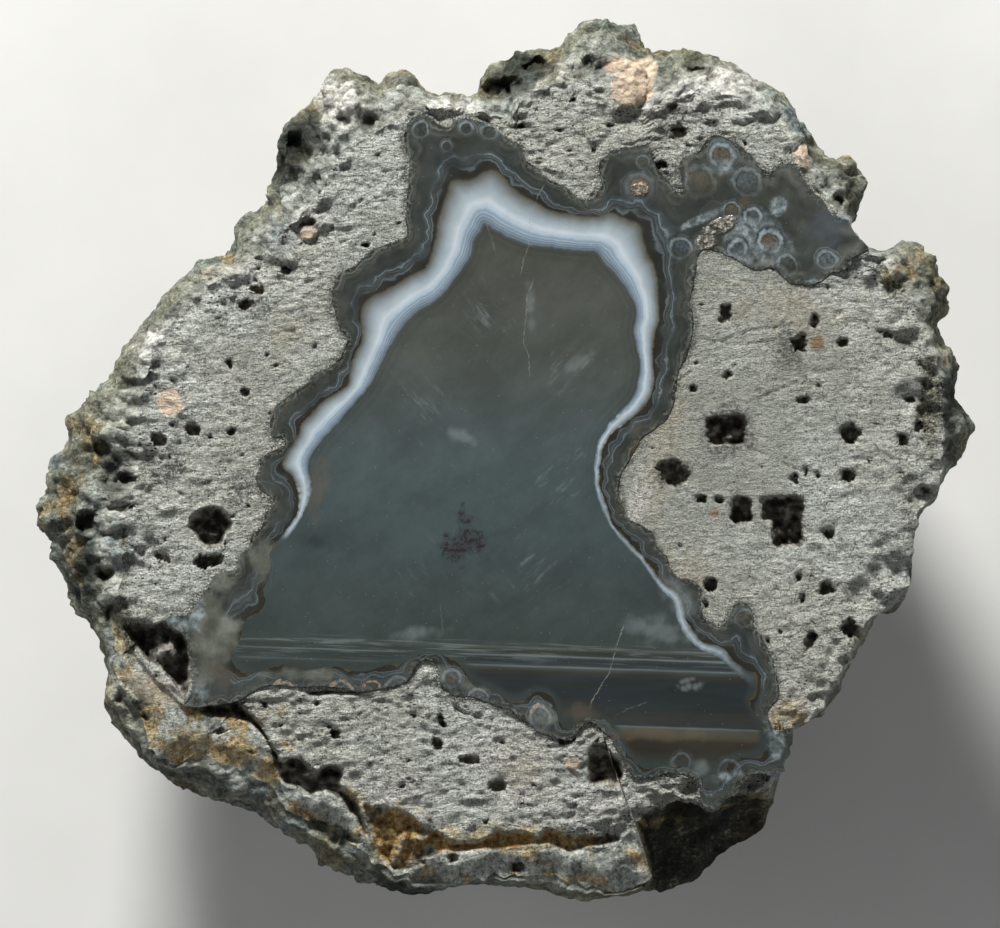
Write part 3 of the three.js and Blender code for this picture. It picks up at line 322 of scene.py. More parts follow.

# Stains on rhyolite and rind, and patches of painted shade (the kind shade) where the rim lies deep
# and where it faces away from the light: kind, x, y, half width, half height, turn in degrees, softness.
STAINS = [
    ("salmon", -35.8, 6.1, 1.5, 1.6, 20, 0.15), ("salmon", 11.9, 42.1, 1.5, 1.1, -20, 0.3),
    ("salmon", 31.9, 32.5, 0.9, 1.4, 20, 0.3), ("salmon", -21, 24.2, 1, 0.8, 0, 0.4),
    ("salmon", 7.4, -32.7, 1, 0.8, 0, 0.4), ("salmon", 15.6, 41.4, 0.9, 1.3, 0, 0.3),
    ("tan", 33.5, 12.4, 0.8, 0.9, 35, 0.1), ("tan", 22.5, -5.8, 0.6, 0.5, 0, 0.3),
    ("ochre", -29.9, 21.5, 1.1, 0.9, 0, 0.6), ("ochre", 47.1, 10.6, 0.5, 0.9, 0, 0.5),
    ("ochre", -23.2, -30.5, 1.3, 1.3, 0, 0.7), ("ochre", -11.2, -41.8, 3.2, 2.4, 30, 0.5),
    ("ochre", -25.1, -27.6, 2.1, 1.1, 30, 0.7), ("pale", -17.6, 37.9, 2.8, 3.6, 30, 0.5),
    ("pale", -5.3, 37.6, 3.6, 1.3, 5, 0.5), ("pale", 21.5, 38.9, 8.6, 3.6, 12, 0.6),
    ("pale", -27.2, 19.2, 2.8, 2.1, -30, 0.6), ("pale", -21.9, 25, 2.1, 3.2, -40, 0.6),
    ("pale", -37.9, 12.2, 2.8, 2.1, 50, 0.7), ("pale", 25.2, -33.3, 2.7, 1, 20, 0.3),
    ("pale", 25.7, -35, 2, 1.3, 15, 0.25), ("pale", -41.1, -1.2, 2.8, 2.4, 0, 0.7),
    ("pale", -37.9, -10.8, 3.6, 2.8, 0, 0.8), ("pale", 9.1, -36.5, 6.4, 2.6, 0, 0.8),
    ("pale", 14.5, -4.4, 2.1, 6.4, -10, 0.8), ("pale", 1.7, -34.9, 4.3, 4.3, 0, 0.8),
    ("pale", -11.2, -35.4, 6.4, 3.2, 0, 0.9), ("blue", 3.8, -43.5, 11.8, 1.7, 0, 0.5),
    ("blue", -20.3, -38.1, 5.3, 1.5, 20, 0.4), ("blue", -16, -40.2, 1.9, 2.8, -30, 0.5),
    ("blue", -40.9, -9.2, 1.8, 3.6, 5, 0.4), ("blue", -24, 23.4, 2.1, 3.2, -30, 0.7),
    ("blue", 31.6, 36.3, 1.9, 2.8, 20, 0.6), ("crustpale", -37.7, -24.7, 3.4, 1.9, -25, 0.35),
    ("beige", 16.9, 0.5, 2.6, 7.5, -8, 0.8), ("beige", 17.5, 13, 3, 5, 0, 0.9),
    ("beige", 30.5, 16.5, 9, 4, -8, 0.9), ("beige", 20.5, -12, 4, 4, 20, 0.9),
    ("beige", 2, -33.5, 3.5, 4.5, 0, 0.8), ("beige", -24, 13, 3, 5, -30, 0.9),
    ("salmon", 13.8, 40.1, 2.3, 3, -18, 0.12), ("dusky", 23.8, 3.1, 3.5, 3.3, 0, 0.35),
    ("dusky", 17.9, -1.5, 2.2, 2.4, 0, 0.6), ("dusky", 30.5, 11.5, 2.5, 3.5, 30, 0.8),
    ("dusky", 16.5, 30.5, 4, 2.2, 0, 0.8), ("dusky", 19, 36.5, 4, 2, 0, 0.8),
    ("dusky", -39.5, 10.5, 3.2, 2.6, 30, 0.8), ("dusky", -27, 16.5, 3, 2, -20, 0.8),
    ("dusky", -36.5, -1.5, 3.5, 2.5, 0, 0.8), ("dusky", -28.3, -3.5, 2.2, 2.8, 0, 0.8),
    ("shade", 1.7, 41.2, 4.5, 2.6, 20, 0.5), ("shade", -22.3, 33.3, 2.8, 6.2, -28, 0.6),
    ("shade", -36.3, -36.5, 6.4, 3.6, -38, 0.6), ("shade", -25.9, -42.1, 7.5, 2.8, -22, 0.6),
    ("shade", -11.2, -46.3, 9.6, 1.3, -8, 0.7), ("shade", -44.6, -10.8, 2.1, 7.5, 8, 0.8),
    ("shade", -42, -1.2, 2.4, 5.3, 0, 0.9), ("shade", 47.7, 6.3, 1.7, 6.4, 0, 0.8),
    ("shade", 44.5, -10.8, 1.5, 6.4, 0, 0.8), ("ochre", -47.1, -4.4, 1.3, 3.6, 4, 0.6),
    ("ochre", -45.6, -10.8, 1.3, 4.3, 10, 0.7), ("ochre", -33, -30.3, 2.1, 1.8, -20, 0.6),
    ("ochre", -29.2, -31.4, 1.7, 0.9, -30, 0.7), ("ochre", 30.5, -28.1, 2.6, 1.7, -30, 0.4),
    ("ochre", 16.6, -38.8, 3.6, 0.6, 2, 0.6), ("ochre", 25.7, -36.7, 3.2, 0.6, 18, 0.6),
    ("ochre", -15.5, -36.5, 3.2, 0.9, -40, 0.7), ("blue", -48.4, 0.4, 0.9, 2.4, 0, 0.5),
    ("blue", -21.9, -41.8, 4.3, 1.3, -24, 0.7), ("blue", -26.4, -35.4, 2.6, 2.1, -30, 0.7),
    ("blue", -45.4, -19.4, 1.3, 4.3, 20, 0.8), ("rindy", -42.9, 1, 3.2, 6.6, 0, 0.45),
    ("rindy", -42.9, -9.5, 2.9, 7.1, 8, 0.45), ("rindy", -40.9, -17.4, 1.6, 4.7, 14, 0.45),
    ("rindy", 42.9, 20, 4.3, 3.2, 20, 0.5), ("rindy", -21.3, 35.7, 2.8, 6.4, -28, 0.5),
    ("rindy", 45.5, 6.3, 1.9, 7.5, 0, 0.6), ("ochre", 42.9, 20, 3.6, 2.4, 20, 0.7),
    ("ochre", -43.7, 2, 1.7, 3.2, 0, 0.8), ("rindy", -40.1, -25.8, 1.7, 2.8, 30, 0.5),
    ("ochre", -0.5, -40.6, 12.8, 1.8, 0, 0.5), ("ochre", -11.7, -39.9, 4.7, 3.2, 30, 0.5),
    ("crustpale", 29.8, -27.1, 3.6, 2.1, 25, 0.5), ("ochre", 30.1, -27.5, 3.2, 1.6, 25, 0.5),
    ("pale", 0.1, -30.9, 7.5, 4.5, 0, 0.8), ("ochre", -34.4, -30.3, 2.6, 1.7, -20, 0.6),
]

# Orbs: x, y, radius, rings (1 plain, 2 ringed, 3 or more finely ringed), whiteness, tone.
ORBS = [
    (-9, 35.2, 1.3, 2, 0.7, "smoke"), (-4.1, 35.4, 1.1, 3, 0.9, "smoke"),
    (-1.6, 35, 1.2, 3, 0.8, "smoke"), (-6.2, 33.5, 0.9, 3, 0.5, "smoke"),
    (8.6, 29.5, 1.8, 3, 0.8, "blue"), (14.5, 29, 2.1, 3, 0.25, "salmon"),
    (14.8, 31.7, 1.1, 2, 0.3, "rock"), (18.8, 22.6, 1.7, 2, 0.7, "glint"),
    (20.9, 29.6, 2.4, 2, 0.12, "olive"), (23.3, 32.4, 1.9, 3, 1.2, "rock"),
    (25.9, 29.6, 2.1, 2, 0.45, "blue"), (24.3, 26.6, 1.3, 2, 0.8, "rock"),
    (26.6, 25.9, 1.4, 2, 1.1, "smoke"), (28.5, 23.2, 1.8, 2, 1.3, "rock"),
    (25, 22.4, 1.4, 2, 0.9, "smoke"), (30.3, 20.8, 1.6, 2, 0.6, "smoke"),
    (34.5, 21.3, 1.5, 4, 1, "blue"), (30.5, 30.1, 2.1, 1, 0.06, "olive"),
    (32.9, 27.5, 1.7, 1, 0.15, "blue"), (-28, -15.2, 1.7, 1, 0.15, "smoke"),
    (22.8, -17.2, 1.3, 2, 0.6, "pale"), (25.6, -17, 1.4, 2, 0.4, "rock"),
    (24.1, -33.3, 1.8, 2, 0.15, "smoke"), (19, -32.4, 1.5, 2, 0.15, "smoke"),
    (29.2, -30.9, 0.8, 1, 0.8, "pale"), (16.6, 2, 1.5, 1, 0.12, "smoke"),
    (22.2, 26.1, 1.4, 1, 0.2, "rock"), (-26.4, -13.4, 1.4, 1, 0.3, "smoke"),
    (-25.9, -11.3, 1.2, 1, 0.3, "smoke"), (-25.4, -9.5, 0.9, 1, 0.4, "blue"),
    (-23.6, -25.2, 2, 2, 0.45, "peach"), (-20.4, -25, 1.6, 1, 0.4, "smoke"),
    (-17.3, -25.2, 2, 2, 0.4, "peach"), (-14.2, -24.9, 1.4, 1, 0.45, "peach"),
    (-11.4, -24.8, 2.2, 2, 0.35, "blue"), (-5.6, -23.5, 1.5, 3, 0.6, "rock"),
    (-2.7, -25.6, 1.5, 2, 0.45, "blue"), (3.8, -27.7, 1.8, 3, 0.6, "peach"),
    (-25.6, -3.9, 1.7, 1, 0.3, "smoke"), (-26.6, -5.6, 1.2, 1, 0.2, "smoke"),
    (-26.7, -24.9, 1.7, 1, 0.4, "pale"), (-30, -24.6, 1.8, 1, 0.25, "pale"),
]

# Soft patches in the agate: kind, x, y, half width, half height, turn in degrees, softness.
AGATE_PATCHES = [
    ("rock", 23.3, 24.9, 2.4, 0.9, 25, 0.35), ("rock", 21.5, 23.1, 1.2, 1, 0, 0.4),
    ("rock", 14.5, 28.8, 1, 0.9, 0, 0.35), ("bluepale", 26.5, 23.9, 3.2, 3.2, -40, 0.3),
    ("bluepale", 29.3, 27, 1.1, 1.1, 0, 0.3), ("bluepale", 25, 21.6, 2.1, 1.1, 0, 0.4),
    ("bluepale", 20.9, 25.6, 3.2, 0.5, 25, 0.4), ("bluepale", -34.9, -17.4, 2.1, 0.9, -30, 0.6),
    ("bluepale", -32.9, -25.1, 1.7, 1.3, 20, 0.7), ("bluepale", 29.1, -30.2, 1.3, 1.9, 10, 0.5),
    ("bluepale", 23.6, -34.1, 2.8, 0.9, 10, 0.7), ("bluepale", 33.8, 18.9, 1.7, 0.4, -10, 0.4),
    ("purple", 34.6, 24.9, 3.6, 3.2, -35, 0.7), ("milk", -31.1, -19.2, 3.2, 3.9, -10, 0.4),
    ("milk", -25.9, -10.8, 1.5, 2.4, 0, 0.4), ("milk", 20.9, -33.3, 2.4, 1.3, 0, 0.9),
    ("milk", 4.3, -27.5, 1.7, 1.4, 0, 0.6), ("milk", -21.9, -23, 6.4, 1, 0, 0.8),
    ("milk", -7.4, -22.8, 1.9, 1.1, 0, 0.7), ("milk", -2.6, -24.5, 2.6, 1, -20, 0.8),
    ("warm", -30.2, -23.4, 1.3, 0.7, -20, 0.8), ("warm", 14.5, -1.2, 1.5, 6.4, 0, 0.9),
    ("warm", 8.3, -27.1, 3.2, 1.7, 0, 0.9), ("warm", 14.5, 29.2, 1.7, 1.5, 0, 0.6),
    ("warm", 25.2, 27.2, 2.8, 1.1, 20, 0.9), ("warm", 20.9, 30.1, 2.8, 2.1, 0, 0.9),
    ("warm", -20, -3.3, 1.5, 4.9, -8, 0.9), ("warm", 16.6, -29.5, 6.4, 1, -1, 0.8),
    ("dark", -20.4, -8.8, 1.8, 1.3, 0, 0.9), ("dark", 19.4, 12.7, 0.6, 2.8, 0, 0.6),
    ("dark", 20.9, -16.2, 1.5, 2.4, 30, 0.8), ("dark", 25.7, -21, 1, 4.1, 10, 0.7),
    ("dark", -6.9, 32, 2.6, 1.1, -10, 0.9), ("dark", 20.9, 27.2, 2.8, 1.3, 15, 0.8),
    ("dark", -15.9, 17, 0.9, 3.2, -20, 0.9), ("haze", 16.6, -18.3, 4.9, 1.8, -14, 0.8),
    ("haze", -9, -18.6, 3.4, 1, 4, 0.8), ("haze", 18.8, -15.1, 1.5, 3.6, 35, 0.8),
    ("haze", 20.9, -33.1, 1.7, 1.1, 0, 0.8), ("haze", 8.2, 10.4, 2.6, 0.8, 38, 1),
    ("haze", -4.2, 2.4, 3, 0.8, -18, 1), ("haze", 2.7, 16.5, 0.7, 3.4, 5, 1),
    ("haze", 20.9, -5.7, 1.3, 0.2, 0, 0.6), ("haze", -17.6, -19.5, 3.2, 0.2, 2, 0.5),
    ("puff", 20, -24.1, 1.7, 0.9, 0, 0.4), ("feather", 4.3, 11.1, 5.6, 6.4, 0, 1),
    ("feather", -1.6, 14.9, 4.7, 5.3, 0, 1), ("feather", 5.9, -1.2, 4.9, 6.4, 0, 1),
    ("feather", 2.2, -10.8, 6.4, 6.4, 0, 1), ("feather", -9, 6.3, 4.3, 5.3, 0, 1),
    ("feather", -6.9, -12.9, 6.4, 4.3, 0, 1), ("bluepale", 27.3, 24, 4.7, 3.2, -35, 0.8),
    ("bluepale", 23.1, 31.5, 2.4, 1.7, 0, 0.8), ("milk", -32.4, -15.6, 2.4, 2.2, 0, 0.4),
    ("milk", -29.9, -10.8, 2.1, 3.9, -10, 0.4), ("milk", -33.7, -23.6, 2.8, 2.1, 10, 0.4),
    ("bluepale", -33.1, -16.2, 1.5, 2.8, 10, 0.8), ("warm", -30.1, -23, 2.2, 1.4, -30, 0.8),
]

# How white the band is at points along it: x, y, strength.
BAND_STRENGTHS = [
    (-21.9, -4.9, 0.7), (-23.1, -7.3, 0.45), (-24, -9.2, 0.05), (-24.4, -11.4, 0), (-25.9, -15.1, 0),
    (-28.3, -20.4, 0), (-21.9, -21.5, 0), (-15.5, -21.7, 0), (-8, -19.4, 0), (-0.5, -23.6, 0),
    (5.9, -26.9, 0), (12.4, -31.1, 0), (20.9, -32.2, 0), (26.3, -30.1, 0), (26.5, -25.8, 0.05),
    (25, -22.4, 0.18), (23.1, -20.4, 0.3), (20.9, -19.4, 0.42), (18.8, -15.6, 0.5), (14.5, -11.3, 0.3),
    (11.3, -6.5, 0.28), (10.2, -1.2, 0.4), (11.5, 3.1, 0.8), (14.5, 7.4, 1), (16.1, 17, 1),
    (13.4, 24.5, 1), (5.9, 26.6, 1), (-2.6, 28.8, 1), (-6.9, 25.6, 1), (-11.2, 18.1, 1),
    (-16.5, 10.6, 1), (-20.8, 4.2, 1), (-22.7, -1.2, 0.95),
]

# Healed cracks in the agate: strength and the points of each.
AGATE_CRACKS = [
    (0.7, [(4.4, 29.6), (3.4, 27.8), (2.7, 25.6), (2.6, 22.8), (2, 21.2), (1.7, 19.4)]),
    (0.75, [(3.2, 19.4), (2.4, 17.3), (2.4, 16.2), (2, 12.5), (2.6, 11.1), (2.7, 8.1)]),
    (0.5, [(-2.1, 25.6), (-1.4, 23.6), (-0.8, 21.6)]),
    (1, [(13.3, -16.4), (12, -19.9), (11.3, -22.7), (9.4, -25.8), (9, -27.2)]),
    (0.4, [(11.5, -27.6), (13.6, -26.6), (15.6, -25.9)]),
    (0.3, [(-6.9, -15.2), (-6.7, -17.2), (-6.6, -19.2)]),
]

# Cracks in the sawn rhyolite.
ROCK_CRACKS = [
    [(-1.3, -27.8), (-2, -30.4), (-2.3, -33.4), (-2.3, -36.8), (-2, -38.8), (-1.8, -41.8)],
    [(-8, -31.6), (-10.3, -35.3)],
    [(15.5, 36.3), (15.4, 31.5)],
    [(20.9, 12.9), (24.7, 12.2), (28.4, 12.7)],
    [(34.8, 22.4), (37, 21.7), (40.2, 21.1)],
    [(31.6, 8.5), (34.8, 9.7), (39.1, 9.3)],
    [(19.8, 9.3), (17.5, 7.3)],
    [(38, -1.2), (35.4, -2.5)],
    [(5.9, -32.2), (9.1, -35.4)],
    [(-18.4, 33.1), (-19.5, 27.2)],
    [(22, 12.2), (26.3, 13.8), (31.1, 14.3)],
    [(26.8, 6.3), (31.1, 8.2), (33.8, 7.9)],
    [(34.3, 18.1), (40.2, 18.6), (43.4, 17)],
    [(25.7, 1.5), (28.9, -0.1), (32.7, -1.7)],
    [(38, 15.9), (40.2, 11.7)],
]

# Knobs that rise in the hollows: x, y, half width, half height, turn in degrees, height.
HOLLOW_KNOBS = [
    (-36.6, -20.7, 1.7, 1.4, 20, 3.6), (-11.4, -41.9, 0.6, 2, -25, 2.4),
    (-20.7, -33.5, 1.4, 0.9, 20, 1.5), (-18.4, -34.5, 1.2, 0.7, -10, 1.3),
    (24.4, 2.4, 1.4, 0.9, 30, 1.4), (29.9, -7.6, 1.5, 0.7, 0, 0.9), (-9, -40.6, 1.1, 0.7, 10, 1.4),
    (-3.7, -39.5, 1.5, 0.5, 0, 1.2), (-31.3, -7.9, 0.9, 0.7, 0, 1.6), (-32.7, -6.1, 0.6, 0.5, 0, 1.2),
    (10.6, -35, 1.3, 0.7, 10, 1.2), (-39.6, -15.1, 1.3, 2.1, 5, 0.8),
]

# Outline of the dark dendrite in the window.
DENDRITE = [(-4.4, -5.2), (-5.9, -7.8), (-7.1, -10.4), (-4.5, -11), (-1.9, -10.2), (-2.8, -7.6)]

# How rough the sawn rhyolite is at points on it: x, y, strength.
ROUGH_SPOTS = [
    (27.3, 2, 0.22), (20.9, -4.4, 0.25), (23.1, -10.8, 0.4), (37, -10.8, 0.75), (41.2, 8.5, 0.55),
    (31.6, 13.8, 0.3), (25.2, 17, 0.25), (37, -2.2, 0.6), (45.5, 11.7, 0.9), (30.5, -19.4, 0.7),
    (20.9, -0.1, 0.12), (16.1, -2.2, 0.12), (34.8, 4.2, 0.4), (44.5, -0.1, 0.8), (5.9, 35.2, 1),
    (9.1, 30.4, 0.95), (1.7, 34.1, 1.1), (20.9, 37.3, 0.95), (28.4, 34.1, 0.8), (14.5, 34.1, 0.9),
    (-4.8, 37.9, 0.7), (-16.5, 27.7, 0.85), (-13.3, 23.4, 0.6), (-21.9, 21.3, 0.75), (-29.4, 13.8, 0.6),
    (-32.6, 17, 0.95), (-37.9, 4.2, 1.3), (-40.1, -4.4, 1.2), (-30.4, 3.1, 0.6), (-26.2, 6.3, 0.45),
    (-27.2, 11.7, 0.45), (-18.7, 13.8, 0.5), (-35.8, -14, 0.95), (-31.5, -10.8, 0.75),
    (-27.2, -2.2, 0.6), (-34.7, -6.5, 1), (-21.9, -30.1, 1.15), (-16.5, -29, 1), (-9, -27.9, 1.1),
    (-9, -34.3, 1), (5.9, -35.4, 1.25), (12.4, -35.4, 1.3), (20.9, -35.4, 1.2), (-2.6, -32.2, 0.8),
    (2.7, -31.1, 0.9), (10.2, -32.2, 1.2), (-18.7, -34.3, 1.3), (-0.5, -38.6, 1.1), (-24, -27.9, 1.2),
    (38, 17, 0.8), (42.3, 19.2, 1), (28.4, -33.3, 1.2), (31.6, -26.9, 0.8),
]

# Smooth skin of the nodule where the saw cut it, between the hollows and the rim.
CRUST = [
    (-42.4, -10.8), (-41.2, -14.9), (-40.3, -19.4), (-38.1, -22.6), (-34.9, -25.8), (-33.7, -26.4),
    (-31, -26.5), (-28.3, -27.1), (-27, -28.1), (-25.9, -29.6), (-25.1, -31.4), (-23.6, -33.1),
    (-21.9, -34), (-19.5, -34.7), (-17.1, -35), (-15.8, -36.5), (-15.4, -37.8), (-14.4, -40.2),
    (-13.1, -42.1), (-11.2, -43.5), (-8.6, -42.9), (-5.8, -41.6), (-2.6, -41.4), (0.1, -41.6),
    (2.7, -41.4), (5.9, -41.2), (9.1, -41.6), (11.8, -41.2), (13.6, -40.1), (15, -41.8), (16.1, -44.2),
    (14.5, -47.2), (5.9, -48.3), (-11.2, -47.7), (-21.9, -45), (-34.7, -39.7), (-44.4, -30.1),
    (-45.4, -15.1),
]

# Hollows in the rind's rim: x, y, half width, half height, turn in degrees, depth.
RIND_HOLLOWS = [
    (-43.2, 1.1, 1, 1.1, 0, 1.8), (-44.6, -6.8, 1.2, 1.5, 0, 2.2), (-42.5, -12.2, 1.3, 1, 20, 1.8),
    (-46.5, -4.4, 0.9, 1.3, 0, 1), (-40.6, -2, 1.1, 0.9, 0, 1.2), (-42, -16.4, 0.9, 1.3, 10, 1.4),
    (-44.8, 5.5, 0.9, 0.9, 0, 1.2), (-40.3, -25.8, 1.5, 0.9, -30, 1.6),
    (-21.9, 33.1, 1.5, 1.9, 30, 2.2), (-17.1, 36.1, 0.9, 0.7, 0, 1.2), (-0.5, 39.5, 2.8, 1.3, 20, 2.4),
    (3.3, 42.1, 1.5, 0.9, 20, 1.6), (-5.3, 38.4, 0.9, 0.6, 0, 0.9), (40.2, 17, 0.9, 0.9, 0, 1.2),
    (42.9, 13.8, 0.9, 1.5, -30, 1.5), (46.1, 8.5, 1, 1.1, 0, 1.4), (35.4, 27.2, 1.1, 1.3, -30, 1.6),
    (28.4, 35.2, 1, 0.7, 0, 1), (20.9, 41.6, 1.5, 0.5, -15, 0.9), (16.6, 42.5, 0.9, 0.6, 0, 0.9),
    (38, 30.9, 1, 0.6, 0, 1), (47.1, 17, 0.9, 0.6, 0, 1), (-40.1, 13.8, 1.1, 0.7, 35, 1.2),
    (-34.7, 20.2, 1.3, 0.7, 40, 1.3), (-28.8, 25, 1.3, 0.7, 35, 1.3), (9.1, 42.7, 1, 0.5, 0, 0.8),
]


# ---- noise ------------------------------------------------------------------------------------


def scattered(ix, iy, iz, seed):
    """A number from 0 to 1 for each whole-number point: large multipliers, a sum, and shifts."""
    total = ix * 374761393 + iy * 668265263 + iz * 1440662683 + seed * 974634777
    total = total & 0xFFFFFFFF
    total = ((total ^ (total >> 13)) * 1274126177) & 0xFFFFFFFF
    return ((total ^ (total >> 16)) & 0xFFFFFF) / float(0xFFFFFF)


def noise(x, y, z=0.0, seed=0):
    """Smooth noise from -1 to 1: scattered numbers at whole points, eased between them."""
    x, y, z = np.broadcast_arrays(x, y, z)
    corner = [np.floor(v).astype(np.int64) for v in (x, y, z)]
    ease = [(v - c) ** 3 * ((v - c) * ((v - c) * 6 - 15) + 10) for v, c in zip((x, y, z), corner)]
    total = 0.0
    for i in (0, 1):
        for j in (0, 1):
            for k in (0, 1):
                weight = 1.0
                for side, part in zip((i, j, k), ease):
                    weight = weight * (part if side else 1 - part)
                total = total + weight * scattered(corner[0] + i, corner[1] + j, corner[2] + k, seed)
    return 2 * total - 1


def layered(x, y, z=0.0, layers=4, seed=0):
    """Noise plus noise of twice the fineness and half the height, and so on."""
    total, height, size = 0.0, 1.0, 1.0
    for layer in range(layers):
        total = total + height * noise(x * size, y * size, z * size, seed + 7 * layer)
        height, size = height * 0.5, size * 2.03
    return total


def cells(x, y, z=0.0, seed=0):
    """Distance to the nearest of points scattered one to a unit cube, and that point's number."""
    x, y, z = np.broadcast_arrays(x, y, z)
    base = [np.floor(v).astype(np.int64) for v in (x, y, z)]
    best = np.full(x.shape, 9.0)
    number = np.zeros(x.shape)
    for i in (-1, 0, 1):
        for j in (-1, 0, 1):
            for k in (-1, 0, 1):
                cell = (base[0] + i, base[1] + j, base[2] + k)
                spot = [c + scattered(*cell, seed + s) for s, c in enumerate(cell)]
                gap = (x - spot[0]) ** 2 + (y - spot[1]) ** 2 + (z - spot[2]) ** 2
                nearer = gap < best
                best = np.where(nearer, gap, best)
                number = np.where(nearer, scattered(*cell, seed + 5), number)
    return np.sqrt(best), number


def smooth(t):
    """0 below 0, 1 above 1, and 3t² - 2t³ between."""
    t = np.clip(t, 0, 1)
    return t * t * (3 - 2 * t)


def blend(a, b, share):
    return a + (b - a) * share


# ---- lines and distances ----------------------------------------------------------------------


def rounded(points, spacing, wobble=0.0, seed=0):
    """Closed smooth line through given points, evened out to a spacing and made to wobble.

    Between points b and c, with neighbours a and d, it is half of
    2b + (c - a)t + (2a - 5b + 4c - d)t² + (3b - a - 3c + d)t³.
    """
    p = np.array(points, float)
    a, b, c, d = (np.roll(p, shift, axis=0) for shift in (1, 0, -1, -2))
    t = (np.arange(8) / 8)[:, None, None]
    line = 0.5 * (2 * b + (c - a) * t + (2 * a - 5 * b + 4 * c - d) * t ** 2
                  + (3 * b - a - 3 * c + d) * t ** 3)
    line = line.transpose(1, 0, 2).reshape(-1, 2)
    ring = np.vstack([line, line[:1]])
    run = np.concatenate([[0], np.cumsum(np.hypot(*np.diff(ring, axis=0).T))])
    at = np.arange(int(run[-1] / spacing)) * run[-1] / int(run[-1] / spacing)
    even = np.column_stack([np.interp(at, run, ring[:, k]) for k in (0, 1)])
    x, y = even.T
    push = [noise(1.3 * x, 1.3 * y, 0, seed + k) + 0.6 * noise(3.1 * x, 3.1 * y, 0, seed + 9 + k)
            for k in (0, 1)]
    return even + wobble * np.column_stack(push)


def inside_distance(x, y, loop):
    """Distance to a closed line, above 0 inside it and below 0 outside."""
    best = np.full(x.shape, 1e9)
    inside = np.zeros(x.shape, bool)
    for (x1, y1), (x2, y2) in zip(loop, np.roll(loop, -1, axis=0)):
        dx, dy = x2 - x1, y2 - y1
        along = np.clip(((x - x1) * dx + (y - y1) * dy) / (dx * dx + dy * dy), 0, 1)
        best = np.minimum(best, (x - x1 - along * dx) ** 2 + (y - y1 - along * dy) ** 2)
        if dy:
            inside ^= ((y1 > y) != (y2 > y)) & (x < x1 + (y - y1) * dx / dy)
    return np.where(inside, 1, -1) * np.sqrt(best)


def nearest_on(x, y, loop):
    """Nearest point of a closed line to each of a few points."""
    ends = np.roll(loop, -1, axis=0)
    step = ends - loop
    along = (x[:, None] - loop[:, 0]) * step[:, 0] + (y[:, None] - loop[:, 1]) * step[:, 1]
    along = np.clip(along / (step ** 2).sum(1), 0, 1)
    px = loop[:, 0] + along * step[:, 0]
    py = loop[:, 1] + along * step[:, 1]
    pick = ((x[:, None] - px) ** 2 + (y[:, None] - py) ** 2).argmin(1)
    row = np.arange(len(x))
    return px[row, pick], py[row, pick]


def crossings(loop, angles):
    """Nearest and farthest place where rays from the middle cross a closed line."""
    ax, ay = (loop - MIDDLE).T
    bx, by = (np.roll(loop, -1, axis=0) - loop).T
    dx, dy = np.cos(angles)[:, None], np.sin(angles)[:, None]
    cross = dx * by - dy * bx
    cross = np.where(np.abs(cross) < 1e-9, 1e-9, cross)
    along = (ax * by - ay * bx) / cross
    share = (ax * dy - ay * dx) / cross
    hit = (share > -1e-6) & (share < 1 + 1e-6) & (along > 0)
    return np.where(hit, along, 1e9).min(1), np.where(hit, along, 0).max(1)


# ---- lines of this egg ------------------------------------------------------------------------

face_line = rounded(FACE_EDGE, 0.3, 0.35, 3)
girth_line = rounded(GIRTH, 0.3, 0.1, 5)
contact_line = rounded(CONTACT, CONTACT_SPACING, 0.09, 11)
band_outer_line = rounded(BAND_OUTER, 0.4, 0.04, 21)
band_inner_line = rounded(BAND_INNER, 0.4, 0.03, 31)

# Angles run clockwise seen from above, as the outlines do.
angles = -2 * math.pi * np.arange(COLUMNS) / COLUMNS
face_reach = crossings(face_line, angles)[1]
girth_reach = np.maximum(crossings(girth_line, angles)[1], face_reach + 0.15)


def evened(values, columns):
    """Values round a ring, averaged over so many columns either way."""
    steps = range(-columns, columns + 1)
    return sum(np.roll(values, k) for k in steps) / len(steps)


# ---- the sawn face ----------------------------------------------------------------------------


def on_turned_axes(x, y, turn):
    """The same places on axes turned by so many degrees."""
    c, s = math.cos(math.radians(turn)), math.sin(math.radians(turn))
    return x * c + y * s, y * c - x * s


def spot_share(x, y, spot_x, spot_y, half_width, half_height, turn, ragged, seed):
    """1 at the middle of an oval spot and 0 at its uneven edge, below 0 beyond."""
    u, v = on_turned_axes(x - spot_x, y - spot_y, turn)
    oval = np.hypot(u / half_width, v / half_height)
    return 1 - oval + ragged * layered(0.9 * x, 0.9 * y, 0, 3, seed)


def patch_masks(x, y, patches):
    """How strongly each kind of stain or patch shows at each point, 0 to 1."""
    masks = {}
    for number, (kind, px, py, w, h, turn, soft) in enumerate(patches):
        mask = masks.setdefault(kind, np.zeros(x.shape))
        near = np.nonzero(np.hypot(x - px, y - py) < 1.7 * max(w, h))[0]
        nx, ny = x[near], y[near]
        share = spot_share(nx, ny, px, py, w, h, turn, 0.05 + 0.3 * soft, 40 + number)
        mask[near] = np.maximum(mask[near], smooth(share / max(soft, 0.08)))
    return masks


